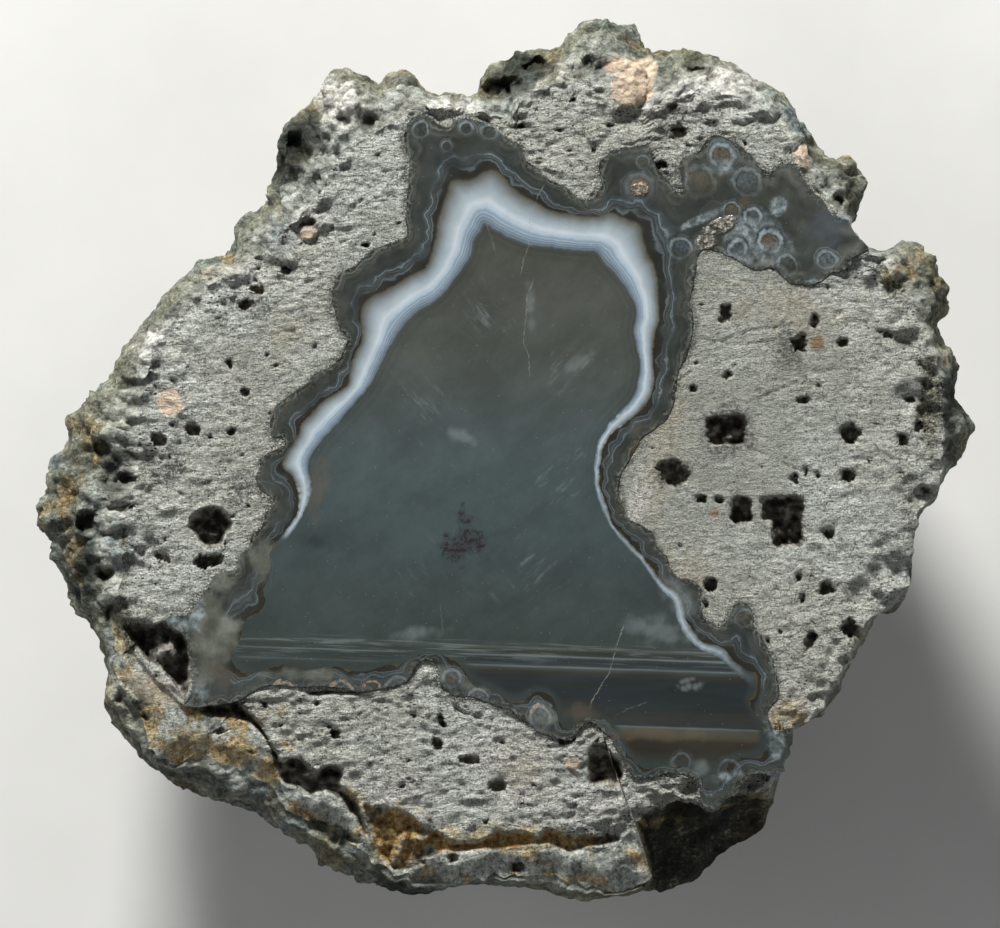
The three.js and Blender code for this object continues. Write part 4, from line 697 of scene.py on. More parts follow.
def pit_sink(x, y):
    """Depth of the square and ragged pits: a turned box with rounded corners and an uneven floor."""
    sink = np.zeros(x.shape)
    for number, (px, py, w, h, depth, turn, square, ragged) in enumerate(PITS):
        near = np.nonzero(np.hypot(x - px, y - py) < 0.9 * (w + h))[0]
        nx, ny = x[near], y[near]
        u, v = on_turned_axes(nx - px, ny - py, turn)
        u, v = np.abs(u) / (w / 2), np.abs(v) / (h / 2)
        edge = (u ** square + v ** square) ** (1 / square)
        edge = edge + ragged * 0.55 * layered(1.9 * nx, 1.9 * ny, 0, 2, 80 + number)
        hole = smooth((1.08 - edge) / max(0.2, 0.25 / min(w, h)))
        floor = 1 + 0.22 * noise(1.7 * nx, 1.7 * ny, 0, 90 + number)
        sink[near] = np.maximum(sink[near], depth * hole * floor)
    return sink


def hollow_sink(x, y):
    """Depth of the pits and hollows. A hollow sinks from a ragged edge to a floor of rubble."""
    sink = pit_sink(x, y)
    for number, (depth, outline) in enumerate(HOLLOWS.values()):
        loop = rounded(outline, 0.35, 0.08, 60 + number)
        low, high = loop.min(0) - 1, loop.max(0) + 1
        near = np.nonzero((x > low[0]) & (x < high[0]) & (y > low[1]) & (y < high[1]))[0]
        nx, ny = x[near], y[near]
        inward = inside_distance(nx, ny, loop)
        wall = smooth((inward + 0.12) / 0.75)
        rubble = 1 + 0.22 * layered(0.8 * nx, 0.8 * ny, 0, 3, 64 + number)
        sink[near] = np.maximum(sink[near], depth * wall * rubble)
    for px, py, w, h, turn, lift in HOLLOW_KNOBS:
        share = spot_share(x, y, px, py, w, h, turn, 0.12, 70)
        sink = sink - np.minimum(lift * np.sqrt(np.clip(share, 0, 1)), np.maximum(sink - 0.5, 0))
    return sink


def spread(x, y, spots):
    """Value at each point from a few placed ones, which weigh by 1 / distance to the fourth."""
    weights, total = 0.0, 0.0
    for px, py, value in spots:
        weight = 1 / ((x - px) ** 2 + (y - py) ** 2 + 0.5) ** 2
        weights, total = weights + weight, total + weight * value
    return total / weights


def sawn_rhyolite(x, y):
    """Height of the sawn rhyolite and what its finish reads.

    Height is the saw plane, less the wear, the flow ripples, the grain, the pits and hollows. It dips
    away under the agate, and it crumbles towards the rind.
    """
    under = inside_distance(x, y, contact_line)
    edge = inside_distance(x, y, face_line)
    crust = smooth((inside_distance(x, y, rounded(CRUST, 0.5, 0.1, 8)) + 0.1) / 0.5)
    masks = patch_masks(x, y, STAINS)
    crumble = smooth((4.6 + 2.4 * noise(0.3 * x, 0.3 * y, 0, 9) - edge) / 4.5) * (1 - 0.8 * crust)
    crumble = np.maximum(crumble, 1.2 * masks["rindy"])
    rough = spread(x, y, ROUGH_SPOTS) * (1 + 0.35 * noise(0.5 * x, 0.5 * y, 0, 10))
    crumble = crumble * (1 - 0.8 * np.maximum(masks["salmon"], masks["crustpale"]))
    rough = np.clip(rough + 0.5 * crumble - 1.1 * crust, 0.08, 2) * (1 - 0.6 * masks["salmon"])
    bend = 0.6 * noise(0.3 * x, 0.3 * y, 0, 2)
    ripples = (0.55 * noise(0.5 * x + bend, 1.1 * y + bend, 0, 12)
               + 0.75 * noise(1.1 * x, 2.0 * y + 2 * bend, 0, 13))
    clods = layered(0.95 * x, 1.15 * y, 0, 3, 14)
    gap, number = cells(1.05 * x + 0.6 * bend, 1.35 * y + 0.3 * ripples, 0.0, 15)
    pores = smooth((0.34 - gap) / 0.1) * (number < 0.015 + 0.03 * rough)
    broad = noise(0.16 * x, 0.16 * y, 0, 16)
    sink = hollow_sink(x, y)
    relief = (rough * (RIPPLE_HEIGHT * ripples + CLOD_HEIGHT * clods - ROUGH_WEAR)
              - PORE_DEPTH * pores * np.sqrt(rough) + BROAD_HEIGHT * broad)
    broken = layered(0.42 * x, 0.5 * y, 0, 4, 17)
    relief = relief + crumble * (CRUMBLE_HEIGHT * broken - CRUMBLE_WEAR)
    rolled = CRUST_ROLL * (1 - smooth(edge / CRUST_ROLL_WIDTH))
    swell = CRUST_SWELL * layered(0.24 * x, 0.24 * y, 0, 3, 18)
    relief = relief + crust * (swell - CRUST_WEAR - rolled)
    relief = np.minimum(relief, POLISH_STEP * 0.9)
    crack = np.zeros(x.shape)
    for line in ROCK_CRACKS:
        crack = np.maximum(crack, near_line(x, y, line, CRACK_WIDTH))
    dip = np.clip(under * DIP_SLOPE, 0, DIP_DEPTH)
    seat = smooth(-under / 0.35)
    height = FACE_HEIGHT - POLISH_STEP + relief * seat - sink * smooth(-under / 0.1 + 0.5) - dip
    height = height - CRACK_DEPTH * crack * seat
    return height, dict(masks, sink=sink, under=under, rough=rough, pores=pores, crust=crust)


def near_line(x, y, points, width):
    """1 on an open broken line, falling to 0 at a width from it."""
    best = np.full(x.shape, 1e9)
    for (x1, y1), (x2, y2) in zip(points, points[1:]):
        dx, dy = x2 - x1, y2 - y1
        along = np.clip(((x - x1) * dx + (y - y1) * dy) / (dx * dx + dy * dy), 0, 1)
        best = np.minimum(best, np.hypot(x - x1 - along * dx, y - y1 - along * dy))
    return smooth(1.4 - best / width)


# ---- meshes -----------------------------------------------------------------------------------


def neighbours(turned=False):
    """Each place in a ring and the one after it, or the other way round if turned."""
    here = np.arange(COLUMNS)
    after = (here + 1) % COLUMNS
    return (after, here) if turned else (here, after)


def ring_faces(rings):
    """Four-sided faces between neighbouring rings of points, facing outwards.

    Rings run clockwise seen from above and follow each other down the outside of the piece.
    """
    start = COLUMNS * np.arange(rings - 1)[:, None]
    here, after = neighbours()
    a, b = start + here, start + after
    return np.stack([a, b, b + COLUMNS, a + COLUMNS], axis=-1).reshape(-1, 4)


def wall_faces(upper, lower, turned=False):
    """Faces between two rings, given by the first point of each: outwards, or inwards if turned."""
    here, after = neighbours(turned)
    return np.column_stack([upper + here, upper + after, lower + after, lower + here])


def fan_faces(ring, hub, turned=False):
    """Faces from a ring, given by its first point, to the point amid it: down, or up if turned."""
    here, after = neighbours(turned)
    return np.column_stack([ring + here, ring + after, np.full(COLUMNS, hub)])


def make_piece(name, points, quads, triangles, layers, flat_quads):
    """A mesh object from arrays, in place, smooth but for the faces that are numbered as flat."""
    mesh = bpy.data.meshes.new(name)
    mesh.vertices.add(len(points))
    mesh.vertices.foreach_set("co", (np.asarray(points) * MM).astype(np.float32).ravel())
    triangles = np.asarray(triangles, int).reshape(-1, 3)
    corners = np.concatenate([quads.ravel(), triangles.ravel()])
    mesh.loops.add(len(corners))
    mesh.loops.foreach_set("vertex_index", corners.astype(np.int32))
    starts = np.concatenate([4 * np.arange(len(quads)), 4 * len(quads) + 3 * np.arange(len(triangles))])
    mesh.polygons.add(len(starts))
    mesh.polygons.foreach_set("loop_start", starts.astype(np.int32))
    mesh.update(calc_edges=True)
    flat = np.zeros(len(starts), bool)
    flat[flat_quads] = True
    mesh.polygons.foreach_set("use_smooth", ~flat)
    edges = np.zeros(len(corners), np.int32)
    mesh.loops.foreach_get("edge_index", edges)
    sharp = np.zeros(len(mesh.edges), bool)
    sharp[edges[(4 * flat_quads[:, None] + np.arange(4)).ravel()]] = True
    mesh.attributes.new("sharp_edge", "BOOLEAN", "EDGE").data.foreach_set("value", sharp)
    for layer, values in layers.items():
        data = mesh.attributes.new(layer, "FLOAT", "POINT").data
        data.foreach_set("value", np.asarray(values, np.float32))
    mesh.validate()
    piece = bpy.data.objects.new(name, mesh)
    bpy.context.scene.collection.objects.link(piece)
    return piece


def padded_layers(masks, names, count):
    """The named masks, with zeros for the hidden points that follow them."""
    return {name: np.concatenate([masks[name], np.zeros(count - len(masks[name]))]) for name in names}


# ---- rhyolite: the sawn face and the hidden block under it -------------------------------------


def make_rhyolite():
    """Sawn face on rings between the agate and the rind, then a short wall and a flat underside.

    A ring point is middle + (r cos a, r sin a), with r going from just inside the agate's contact
    to the edge of the sawn face.
    """
    start = crossings(contact_line, angles)[0] - 1.5
    lowest = np.minimum.reduce([np.roll(start, k) for k in range(-9, 10)])
    start = np.minimum(np.clip(evened(lowest, 9), 3, None), face_reach - 2)
    share = np.linspace(0, 1, FACE_RINGS)[::-1, None]
    reach = start + (face_reach - start) * share
    x = (MIDDLE[0] + reach * np.cos(angles)).ravel()
    y = (MIDDLE[1] + reach * np.sin(angles)).ravel()
    z, masks = sawn_rhyolite(x, y)
    top = np.column_stack([x, y, z])
    rim = top[:COLUMNS]
    base_z = FACE_HEIGHT - BLOCK_DEPTH
    under = np.column_stack([rim[:, :2], np.full(COLUMNS, base_z)])
    hubs = [[*MIDDLE, FACE_HEIGHT - HUB_DEPTH], [*MIDDLE, base_z]]
    points = np.vstack([top, under, hubs])
    count = len(top)
    # The rings run from the rim inwards over a face that looks up, so the corners are turned round.
    quads = ring_faces(FACE_RINGS)[:, ::-1]
    cap = fan_faces(count - COLUMNS, count + COLUMNS, turned=True)
    base = fan_faces(count, count + COLUMNS + 1)
    faces = np.vstack([quads, wall_faces(0, count)])
    flat = np.arange(len(quads), len(faces))
    names = ("sink", "under", "rough", "pores", "crust", "ochre", "salmon", "tan", "pale", "beige",
             "blue", "dusky", "crustpale", "shade", "rindy")
    layers = padded_layers(masks, names, len(points))
    return make_piece("rhyolite", points, faces, np.vstack([cap, base]), layers, flat), rim


# ---- rind: rim and back -------------------------------------------------------------------------


def lumps(x, y, z):
    """Rolling lumps, from about -1 to 1: sines whose phases are bent by other sines."""
    broad = (np.sin(0.29 * x + 1.6 * np.sin(0.17 * y + 0.23 * z))
             * np.sin(0.27 * y + 1.4 * np.sin(0.26 * z + 0.5))
             + 0.5 * np.sin(0.41 * z + 1.5 * np.sin(0.15 * x + 2) + 1.2 * np.sin(0.21 * y)))
    small = (np.sin(0.71 * x + 1.3 * np.sin(0.53 * z))
             * np.sin(0.67 * y + 1.1 + 1.2 * np.sin(0.47 * x))
             * np.sin(0.75 * z + 1.4 * np.sin(0.33 * y)))
    return 0.55 * broad + 0.45 * small


def outward(points):
    """Unit directions out of a grid of rings: cross products of its two neighbour steps."""
    grid = points.reshape(-1, COLUMNS, 3)
    along = np.roll(grid, -1, axis=1) - np.roll(grid, 1, axis=1)
    down = np.gradient(grid, axis=0)
    out = np.cross(along, down)
    return (out / np.maximum(np.linalg.norm(out, axis=2, keepdims=True), 1e-9)).reshape(-1, 3)


def make_rind(rim):
    """Rind from the edge of the sawn face, out to the girth and round the back.

    On the rim, r swells as a quarter circle from the face edge to the girth; in the broken stretch
    it falls first and runs out below. On the back, r = outline × cos b and z = top × (1 - sin b /
    sin b at the resting spot). Knobs, clods and grain then push each point along its outward direction.
    """
    drop = GIRTH_DROP + GIRTH_DROP_CHANGE * (np.sin(2 * angles + 1) + 0.5 * np.sin(5 * angles))
    cosine, sine = np.cos(angles), np.sin(angles)
    degrees = np.degrees((angles + math.pi) % (2 * math.pi) - math.pi)
    broken = smooth((degrees - BREAK_FROM) / 3) * smooth((BREAK_TO - degrees) / 3)
    width = girth_reach - face_reach

    share = np.linspace(0, 1, RIM_RINGS)[:, None]
    turn = RIM_START + share * (math.pi / 2 - RIM_START)
    swell = (np.sin(turn) - math.sin(RIM_START)) / (1 - math.sin(RIM_START))
    fall = 1 - np.cos(turn) / math.cos(RIM_START)
    out = blend(swell, share ** 1.5, broken)
    down = blend(fall, share ** 0.6, broken)
    reach = face_reach + width * out
    z = FACE_HEIGHT - drop * down + (rim[:, 2] - FACE_HEIGHT) * (1 - smooth(share / 0.4))
    x, y = MIDDLE[0] + reach * cosine, MIDDLE[1] + reach * sine
    rim_points = np.stack([x, y, z], axis=-1)

    lowest = math.acos(REST_SHARE)
    share = np.linspace(0, 1, BACK_RINGS + 1)[1:, None]
    dip = share * lowest
    oval = 1 / np.hypot(cosine / BACK_HALF_WIDTH, sine / BACK_HALF_DEPTH)
    soft = evened(girth_reach, int(SOFTEN_ANGLE / (2 * math.pi) * COLUMNS))
    outline = blend(blend(girth_reach, soft, smooth(share * 5)), oval, smooth(share * 1.8))
    z = (FACE_HEIGHT - drop) * (1 - np.sin(dip) / math.sin(lowest))
    level = np.cos(dip) * outline
    rolling = smooth(share * 5) * smooth((1 - share) * 4)
    reach = level + LUMP_HEIGHT * rolling * lumps(cosine * level, sine * level, z)
    reach = np.minimum(reach, girth_reach - 0.5 * smooth(share * 8))
    back_points = np.stack([MIDDLE[0] + reach * cosine, MIDDLE[1] + reach * sine, z], axis=-1)

    points = np.concatenate([rim_points, back_points]).reshape(-1, 3)
    rings = RIM_RINGS + BACK_RINGS
    x, y, z = points.T
    direction = outward(points)
    ring = np.repeat(np.arange(rings), COLUMNS)
    wide = np.tile(width, rings)
    hollow = np.tile(broken, rings)
    from_edge = np.clip(ring / (RIM_RINGS - 1), 0, 1) * wide
    on_back = smooth((ring - RIM_RINGS) / (0.12 * BACK_RINGS))
    near_rest = smooth(z / 2.5)
    gap, number = cells(x / KNOB_WIDTH + 0.3 * noise(x, y, z, 4), y / KNOB_WIDTH, z / KNOB_TALLNESS, 51)
    small_gap, small_number = cells(x / GRIT_WIDTH, y / GRIT_WIDTH, z / GRIT_WIDTH, 52)
    knobs = (0.62 - gap) * (0.6 + 0.8 * number)
    clods = (0.6 - small_gap) * (0.5 + small_number)
    grain = layered(1.1 * x, 1.1 * y, 1.1 * z, 3, 53)
    room = smooth(from_edge / 0.9) * np.clip(0.25 + wide / 7, 0.3, 1.1)
    height = blend(room, 0.9, on_back) * (1 - 0.75 * hollow * (1 - on_back)) * (0.25 + 0.75 * near_rest)
    push = height * (KNOB_HEIGHT * knobs + GRIT_HEIGHT * clods + GRAIN_HEIGHT * grain)
    girth_calm = 1 - 0.55 * np.exp(-((ring - RIM_RINGS) / 7.0) ** 2)
    ledges = (np.abs(noise(0.2 * x, 0.2 * y, 0.2 * z, 54))
              + 0.4 * np.abs(noise(0.5 * x, 0.5 * y, 0.5 * z, 55)))
    push = push + hollow * (1 - on_back) * room * (LEDGE_HEIGHT * ledges - LEDGE_WEAR)
    points = points + direction * (push * girth_calm)[:, None]
    bites = [smooth(spot_share(x, y, px, py, w, h, turn, 0.14, 57) * HOLLOW_STEEPNESS)
             for px, py, w, h, turn, _ in RIND_HOLLOWS]
    for bite, (*_, depth) in zip(bites, RIND_HOLLOWS):
        points[:, 2] -= depth * bite * smooth(from_edge / 0.8) * smooth((z - 30) / 4)
    points[:, 2] = np.clip(points[:, 2], 0, FACE_HEIGHT)
    points[:COLUMNS] = rim
    points[-COLUMNS:, 2] = 0

    masks = patch_masks(x, y, STAINS)
    fade = smooth((z - 26) / 9)
    for kind in masks:
        masks[kind] = masks[kind] * fade
    masks["drop"] = FACE_HEIGHT - points[:, 2]
    # The clefts between knobs and clods, which the finish paints in shade.
    masks["crevice"] = smooth((gap - 0.45) / 0.4) * 0.6 + smooth((small_gap - 0.5) / 0.35) * 0.4
    # The broken stretch of the rim, which the finish paints in deep shade.
    masks["broken"] = hollow * (1 - on_back) * smooth(from_edge / 0.5)
    masks["agate"] = smooth((inside_distance(x, y, contact_line) + 0.6) / 0.5) * smooth((z - 38) / 3)

    count = len(points)
    base_z = FACE_HEIGHT - BLOCK_DEPTH
    recess = np.column_stack([rim[:, :2], np.full(COLUMNS, base_z)])
    points = np.vstack([points, recess, [[*MIDDLE, base_z], [*MIDDLE, 0]]])
    quads = ring_faces(rings)
    floor = fan_faces(count, count + COLUMNS, turned=True)
    rest = fan_faces(count - COLUMNS, count + COLUMNS + 1)
    faces = np.vstack([quads, wall_faces(0, count, turned=True)])
    flat = np.arange(len(quads), len(faces))
    # Where the rim's hollows bite in, which the finish paints in shade.
    masks["hollow"] = sum(bites) * fade
    names = ("ochre", "salmon", "pale", "blue", "drop", "crevice", "broken", "agate", "hollow", "shade")
    layers = padded_layers(masks, names, len(points))
    return make_piece("rind", points, faces, np.vstack([floor, rest]), layers, flat)


# ---- agate core ---------------------------------------------------------------------------------


def make_agate():
    """Polished top on a square grid of points, cut to the contact line, over a deep rounded back.

    Points of the outermost squares are drawn onto the contact line, or onto the edge of the sawn
    face where that is nearer. The underside repeats the top at a depth of rim depth + growth ×
    (1 - e^(-d / taper)), where d is the distance in from the nearer line.
    """
    spans = [np.arange(first, last, AGATE_STEP) for first, last in zip(AGATE_FROM, AGATE_TO)]
    gx, gy = np.meshgrid(*spans, indexing="ij")
    x, y = gx.ravel(), gy.ravel()
    wall = inside_distance(x, y, contact_line)
    near = wall > -1
    edge = np.full(x.shape, -9.0)
    edge[near] = inside_distance(x[near], y[near], face_line)
    both = np.minimum(wall, edge)

    grid = np.arange(len(x)).reshape(gx.shape)
    corners = np.stack([grid[:-1, :-1], grid[1:, :-1], grid[1:, 1:], grid[:-1, 1:]], axis=-1)
    corners = corners.reshape(-1, 4)
    quads = corners[both[corners].mean(1) > 0]
    used, quads = np.unique(quads, return_inverse=True)
    quads = quads.reshape(-1, 4)
    x, y, wall, edge, both = (v[used] for v in (x, y, wall, edge, both))

    sides = np.concatenate([quads[:, [k, (k + 1) % 4]] for k in range(4)])
    key = sides.min(1) * len(x) + sides.max(1)
    _, first, times = np.unique(key, return_index=True, return_counts=True)
    open_sides = sides[first[times == 1]]
    outer = np.unique(open_sides)
    line = np.where(wall[outer] < edge[outer], 0, 1)
    for number, loop in enumerate((contact_line, face_line)):
        pick = outer[line == number]
        x[pick], y[pick] = nearest_on(x[pick], y[pick], loop)
    depth_in = np.clip(both, 0, None)
    depth_in[outer] = 0

    top = np.column_stack([x, y, np.full(len(x), FACE_HEIGHT - AGATE_TOP_DROP)])
    deep = AGATE_RIM_DEPTH + AGATE_GROWTH * (1 - np.exp(-depth_in / AGATE_TAPER))
    back = top - np.column_stack([0 * x, 0 * x, deep])
    count = len(x)
    walls = np.column_stack([open_sides[:, 1], open_sides[:, 0],
                             open_sides[:, 0] + count, open_sides[:, 1] + count])
    faces = np.vstack([quads, quads[:, ::-1] + count, walls])
    flat = np.arange(2 * len(quads), len(faces))
    layers = agate_layers(x, y)
    layers = {name: np.concatenate([v, v]) for name, v in layers.items()}
    return make_piece("agate", np.vstack([top, back]), faces, [], layers, flat)


# Colours of the orbs' cores. Their places run evenly from 0 to 1 in this order.
ORB_TONES = {
    "smoke": (66, 71, 70), "olive": (86, 87, 72), "blue": (98, 110, 118), "salmon": (158, 136, 112),
    "peach": (92, 102, 106), "pale": (126, 129, 124), "rock": (98, 92, 80), "glint": (86, 98, 112),
}


def tone_place(tone):
    """Where a tone lies from 0 to 1 among the orbs' tones."""
    return list(ORB_TONES).index(tone) / (len(ORB_TONES) - 1)


def agate_layers(x, y):
    """What the agate's finish reads: distances to its lines, and the orb each point lies in."""
    best = np.full(x.shape, 2.0)
    chosen = {name: np.zeros(x.shape) for name in ("rings", "white", "tone", "up")}
    for number, (px, py, radius, rings, white, tone) in enumerate(ORBS):
        uneven = (1 + 0.15 * noise(0.8 * x, 0.8 * y, 0, 200 + number)
                  + 0.08 * noise(2.2 * x, 2.2 * y, 0, 300))
        away = np.hypot(x - px, y - py) / radius * uneven
        nearer = away < best
        best = np.where(nearer, away, best)
        values = {"rings": rings, "white": white, "tone": tone_place(tone), "up": (y - py) / radius}
        for name, value in values.items():
            chosen[name] = np.where(nearer, value, chosen[name])
    layers = patch_masks(x, y, AGATE_PATCHES)
    layers["wall"] = inside_distance(x, y, contact_line)
    layers["outer"] = inside_distance(x, y, band_outer_line)
    layers["inner"] = inside_distance(x, y, band_inner_line)
    layers["orb"] = best
    layers.update(("orb_" + name, values) for name, values in chosen.items())
    layers["band"] = spread(x, y, BAND_STRENGTHS)

    # Scallops: round beads that grew on the wall, every few millimetres along it.
    scallop = np.full(x.shape, 2.0)
    spot = 0.0
    for number in range(400):
        spot += 1.9 + 2.1 * scattered(number, 7, 3, 1)
        index = int(spot / CONTACT_SPACING)
        if index >= len(contact_line):
            break
        px, py = contact_line[index]
        radius = 0.9 + 1.1 * scattered(number, 2, 5, 2)
        scallop = np.minimum(scallop, np.hypot(x - px, y - py) / radius)
    layers["scallop"] = scallop

    ragged = 0.9 * layered(1.1 * x, 1.1 * y, 0, 3, 91)
    inward = inside_distance(x, y, np.array(DENDRITE, float)) + ragged
    layers["dendrite"] = smooth((inward + 0.4) / 1.2)
    layers["crack_side"], layers["crack_strength"] = crack_sides(x, y)
    return layers


def crack_sides(x, y):
    """Distance to the nearest crack, signed by the side it lies on, and how strongly that crack shows.

    The strength fades out towards both ends of a crack.
    """
    offset, strength = np.full(x.shape, 3.0), np.zeros(x.shape)
    for shows, points in AGATE_CRACKS:
        line = np.array(points, float)
        run = np.concatenate([[0], np.cumsum(np.hypot(*np.diff(line, axis=0).T))])
        for (x1, y1), (x2, y2), start in zip(line, line[1:], run):
            dx, dy = x2 - x1, y2 - y1
            length = math.hypot(dx, dy)
            along = ((x - x1) * dx + (y - y1) * dy) / length
            held = np.clip(along, 0, length)
            away = np.hypot(x - x1 - held * dx / length, y - y1 - held * dy / length)
            side = np.where(dx * (y - y1) - dy * (x - x1) > 0, 1.0, -1.0)
            nearer = away < np.abs(offset)
            place = start + along
            fade = smooth(place / 0.8) * smooth((run[-1] - place) / 0.8)
            offset = np.where(nearer, away * side, offset)
            strength = np.where(nearer, shows * fade, strength)
    return offset, strength


# ---- finishes -----------------------------------------------------------------------------------


def tint(red, green, blue):
    """Colour from 0-255 screen values."""
    parts = [v / 255 for v in (red, green, blue)]
    return tuple(v / 12.92 if v <= 0.04045 else ((v + 0.055) / 1.055) ** 2.4 for v in parts) + (1.0,)


class Wire:
    """The output of a node. Sums, products and quotients with wires and numbers add Math nodes."""

    def __init__(self, finish, socket):
        self.finish, self.socket = finish, socket

    def __add__(self, other):
        return self.finish.maths("ADD", self, other)

    def __sub__(self, other):
        return self.finish.maths("SUBTRACT", self, other)

    def __rsub__(self, other):
        return self.finish.maths("SUBTRACT", other, self)

    def __mul__(self, other):
        return self.finish.maths("MULTIPLY", self, other)

    def __truediv__(self, other):
        return self.finish.maths("DIVIDE", self, other)

    def __abs__(self):
        return self.finish.maths("ABSOLUTE", self, 0.0)

    __radd__, __rmul__ = __add__, __mul__


class Finish:
    """A material under construction. Lengths in it are millimetres on the piece's own coordinates.

    On a level face, noise and cells need only x and y.
    """

    def __init__(self, name, level=False):
        self.dimensions = "2D" if level else "3D"
        self.material = bpy.data.materials.new(name)
        self.material.use_nodes = True
        self.tree = self.material.node_tree
        self.tree.nodes.clear()
        place = self.node("ShaderNodeTexCoord", output="Object")
        self.place = self.node("ShaderNodeVectorMath", {"operation": "SCALE"},
                               {0: place, "Scale": 1000.0})
        self.x, self.y = (self.node("ShaderNodeSeparateXYZ", None, {0: self.place}, output=k)
                          for k in range(2))

    def node(self, kind, settings=None, values=None, output=0):
        """A node of any kind: its settings first, then its sockets' values or links."""
        node = self.tree.nodes.new(kind)
        for name, value in (settings or {}).items():
            if name == "stops":
                self.fill_stops(node.color_ramp, value)
            else:
                setattr(node, name, value)
        for socket, value in (values or {}).items():
            if isinstance(value, Wire):
                self.tree.links.new(value.socket, node.inputs[socket])
            else:
                node.inputs[socket].default_value = value
        return Wire(self, node.outputs[output])

    @staticmethod
    def fill_stops(ramp, stops):
        """Stops of a ramp: each a place and a screen colour, or a place and one number for a grey."""
        while len(ramp.elements) < len(stops):
            ramp.elements.new(1.0)
        for element, (place, colour) in zip(ramp.elements, stops):
            element.position = place
            element.color = tint(*colour) if isinstance(colour, tuple) else (colour, colour, colour, 1.0)

    def maths(self, operation, a, b):
        return self.node("ShaderNodeMath", {"operation": operation}, {0: a, 1: b})

    def higher(self, a, b):
        return self.maths("MAXIMUM", a, b)

    def attribute(self, name):
        return self.node("ShaderNodeAttribute", {"attribute_name": name}, output="Fac")

    def step(self, value, low, high):
        """0 up to low, 1 from high, eased between. The same run downwards if high is below low."""
        return self.node("ShaderNodeMapRange", {"interpolation_type": "SMOOTHSTEP"},
                         {"Value": value, "From Min": low, "From Max": high})

    def ramp(self, value, stops):
        """A colour from stops of (place, screen colour), or a grey from (place, number)."""
        return self.node("ShaderNodeValToRGB", {"stops": stops}, {0: value})

    def paint(self, share, under, over, how="MIX"):
        """One colour over another, by a share from 0 to 1."""
        colours = [tint(*c) if isinstance(c, tuple) else c for c in (under, over)]
        return self.node("ShaderNodeMix", {"data_type": "RGBA", "blend_type": how, "clamp_factor": True},
                         {0: share, 6: colours[0], 7: colours[1]}, output=2)

    def wash(self, share, under, value, stops, how="MIX"):
        """A ramp of stops over a colour, by a share from 0 to 1."""
        return self.paint(share, under, self.ramp(value, stops), how)

    def stretched(self, x=1.0, y=1.0, z=1.0, turn=0.0):
        """The place on axes turned about the upright, and then scaled along each."""
        return self.node("ShaderNodeMapping", {"vector_type": "TEXTURE"},
                         {"Vector": self.place, "Rotation": (0, 0, math.radians(turn)),
                          "Scale": (1 / x, 1 / y, 1 / z)})

    def noise(self, size, layers=4.0, where=None, roughness=0.55, warp=0.0):
        """Cloudy noise from 0 to 1 whose lumps are about size millimetres wide."""
        return self.node("ShaderNodeTexNoise", {"noise_dimensions": self.dimensions},
                         {"Vector": where or self.place, "Scale": 1.0 / size, "Detail": layers,
                          "Roughness": roughness, "Distortion": warp})

    def cells(self, size, where=None):
        """Distance to the nearest of points scattered one to a square or cube of size millimetres."""
        return self.node("ShaderNodeTexVoronoi", {"voronoi_dimensions": self.dimensions},
                         {"Vector": where or self.place, "Scale": 1.0 / size}, output="Distance")

    def bump(self, height, depth):
        """Surface direction over a height from 0 to 1 that stands for so many millimetres."""
        return self.node("ShaderNodeBump", None,
                         {"Height": height, "Distance": depth * MM, "Strength": 1.0})

    def finished(self, values):
        """Joins the shader to the output and hands over the material."""
        shader = self.node("ShaderNodeBsdfPrincipled", None, values)
        end = self.tree.nodes.new("ShaderNodeOutputMaterial")
        self.tree.links.new(shader.socket, end.inputs["Surface"])
        return self.material


def stone_colours(f, rough):
    """Colour of broken and sawn rhyolite, livelier where it is rough, and the noises it comes from."""
    flow = f.noise(0.7, 4, f.stretched(0.45, 1.3, 1, 3), 0.62, 0.3)
    grain = f.noise(0.55, 7, None, 0.74)
    fine = f.noise(0.2, 3, None, 0.65)
    pebble = f.cells(0.8, f.stretched(0.85, 1.2, 1)) + (grain - 0.5) * 1.1
    clouds = f.noise(2.6, 4, None, 0.6)
    mottle = grain * 0.45 + flow * 0.12 + fine * 0.28 + clouds * 0.15
    lively = f.ramp(mottle, [(0.36, (88, 91, 85)), (0.42, (150, 154, 146)), (0.47, (197, 201, 193)),
                             (0.53, (227, 231, 223)), (0.59, (249, 251, 245)), (0.64, (255, 255, 253))])
    calm = f.ramp(mottle, [(0.36, (122, 126, 117)), (0.43, (158, 162, 153)), (0.5, (179, 182, 173)),
                           (0.58, (200, 202, 193)), (0.66, (226, 228, 219))])
    return f.paint(f.step(rough, 0.1, 0.8), calm, lively), flow, grain, fine, pebble


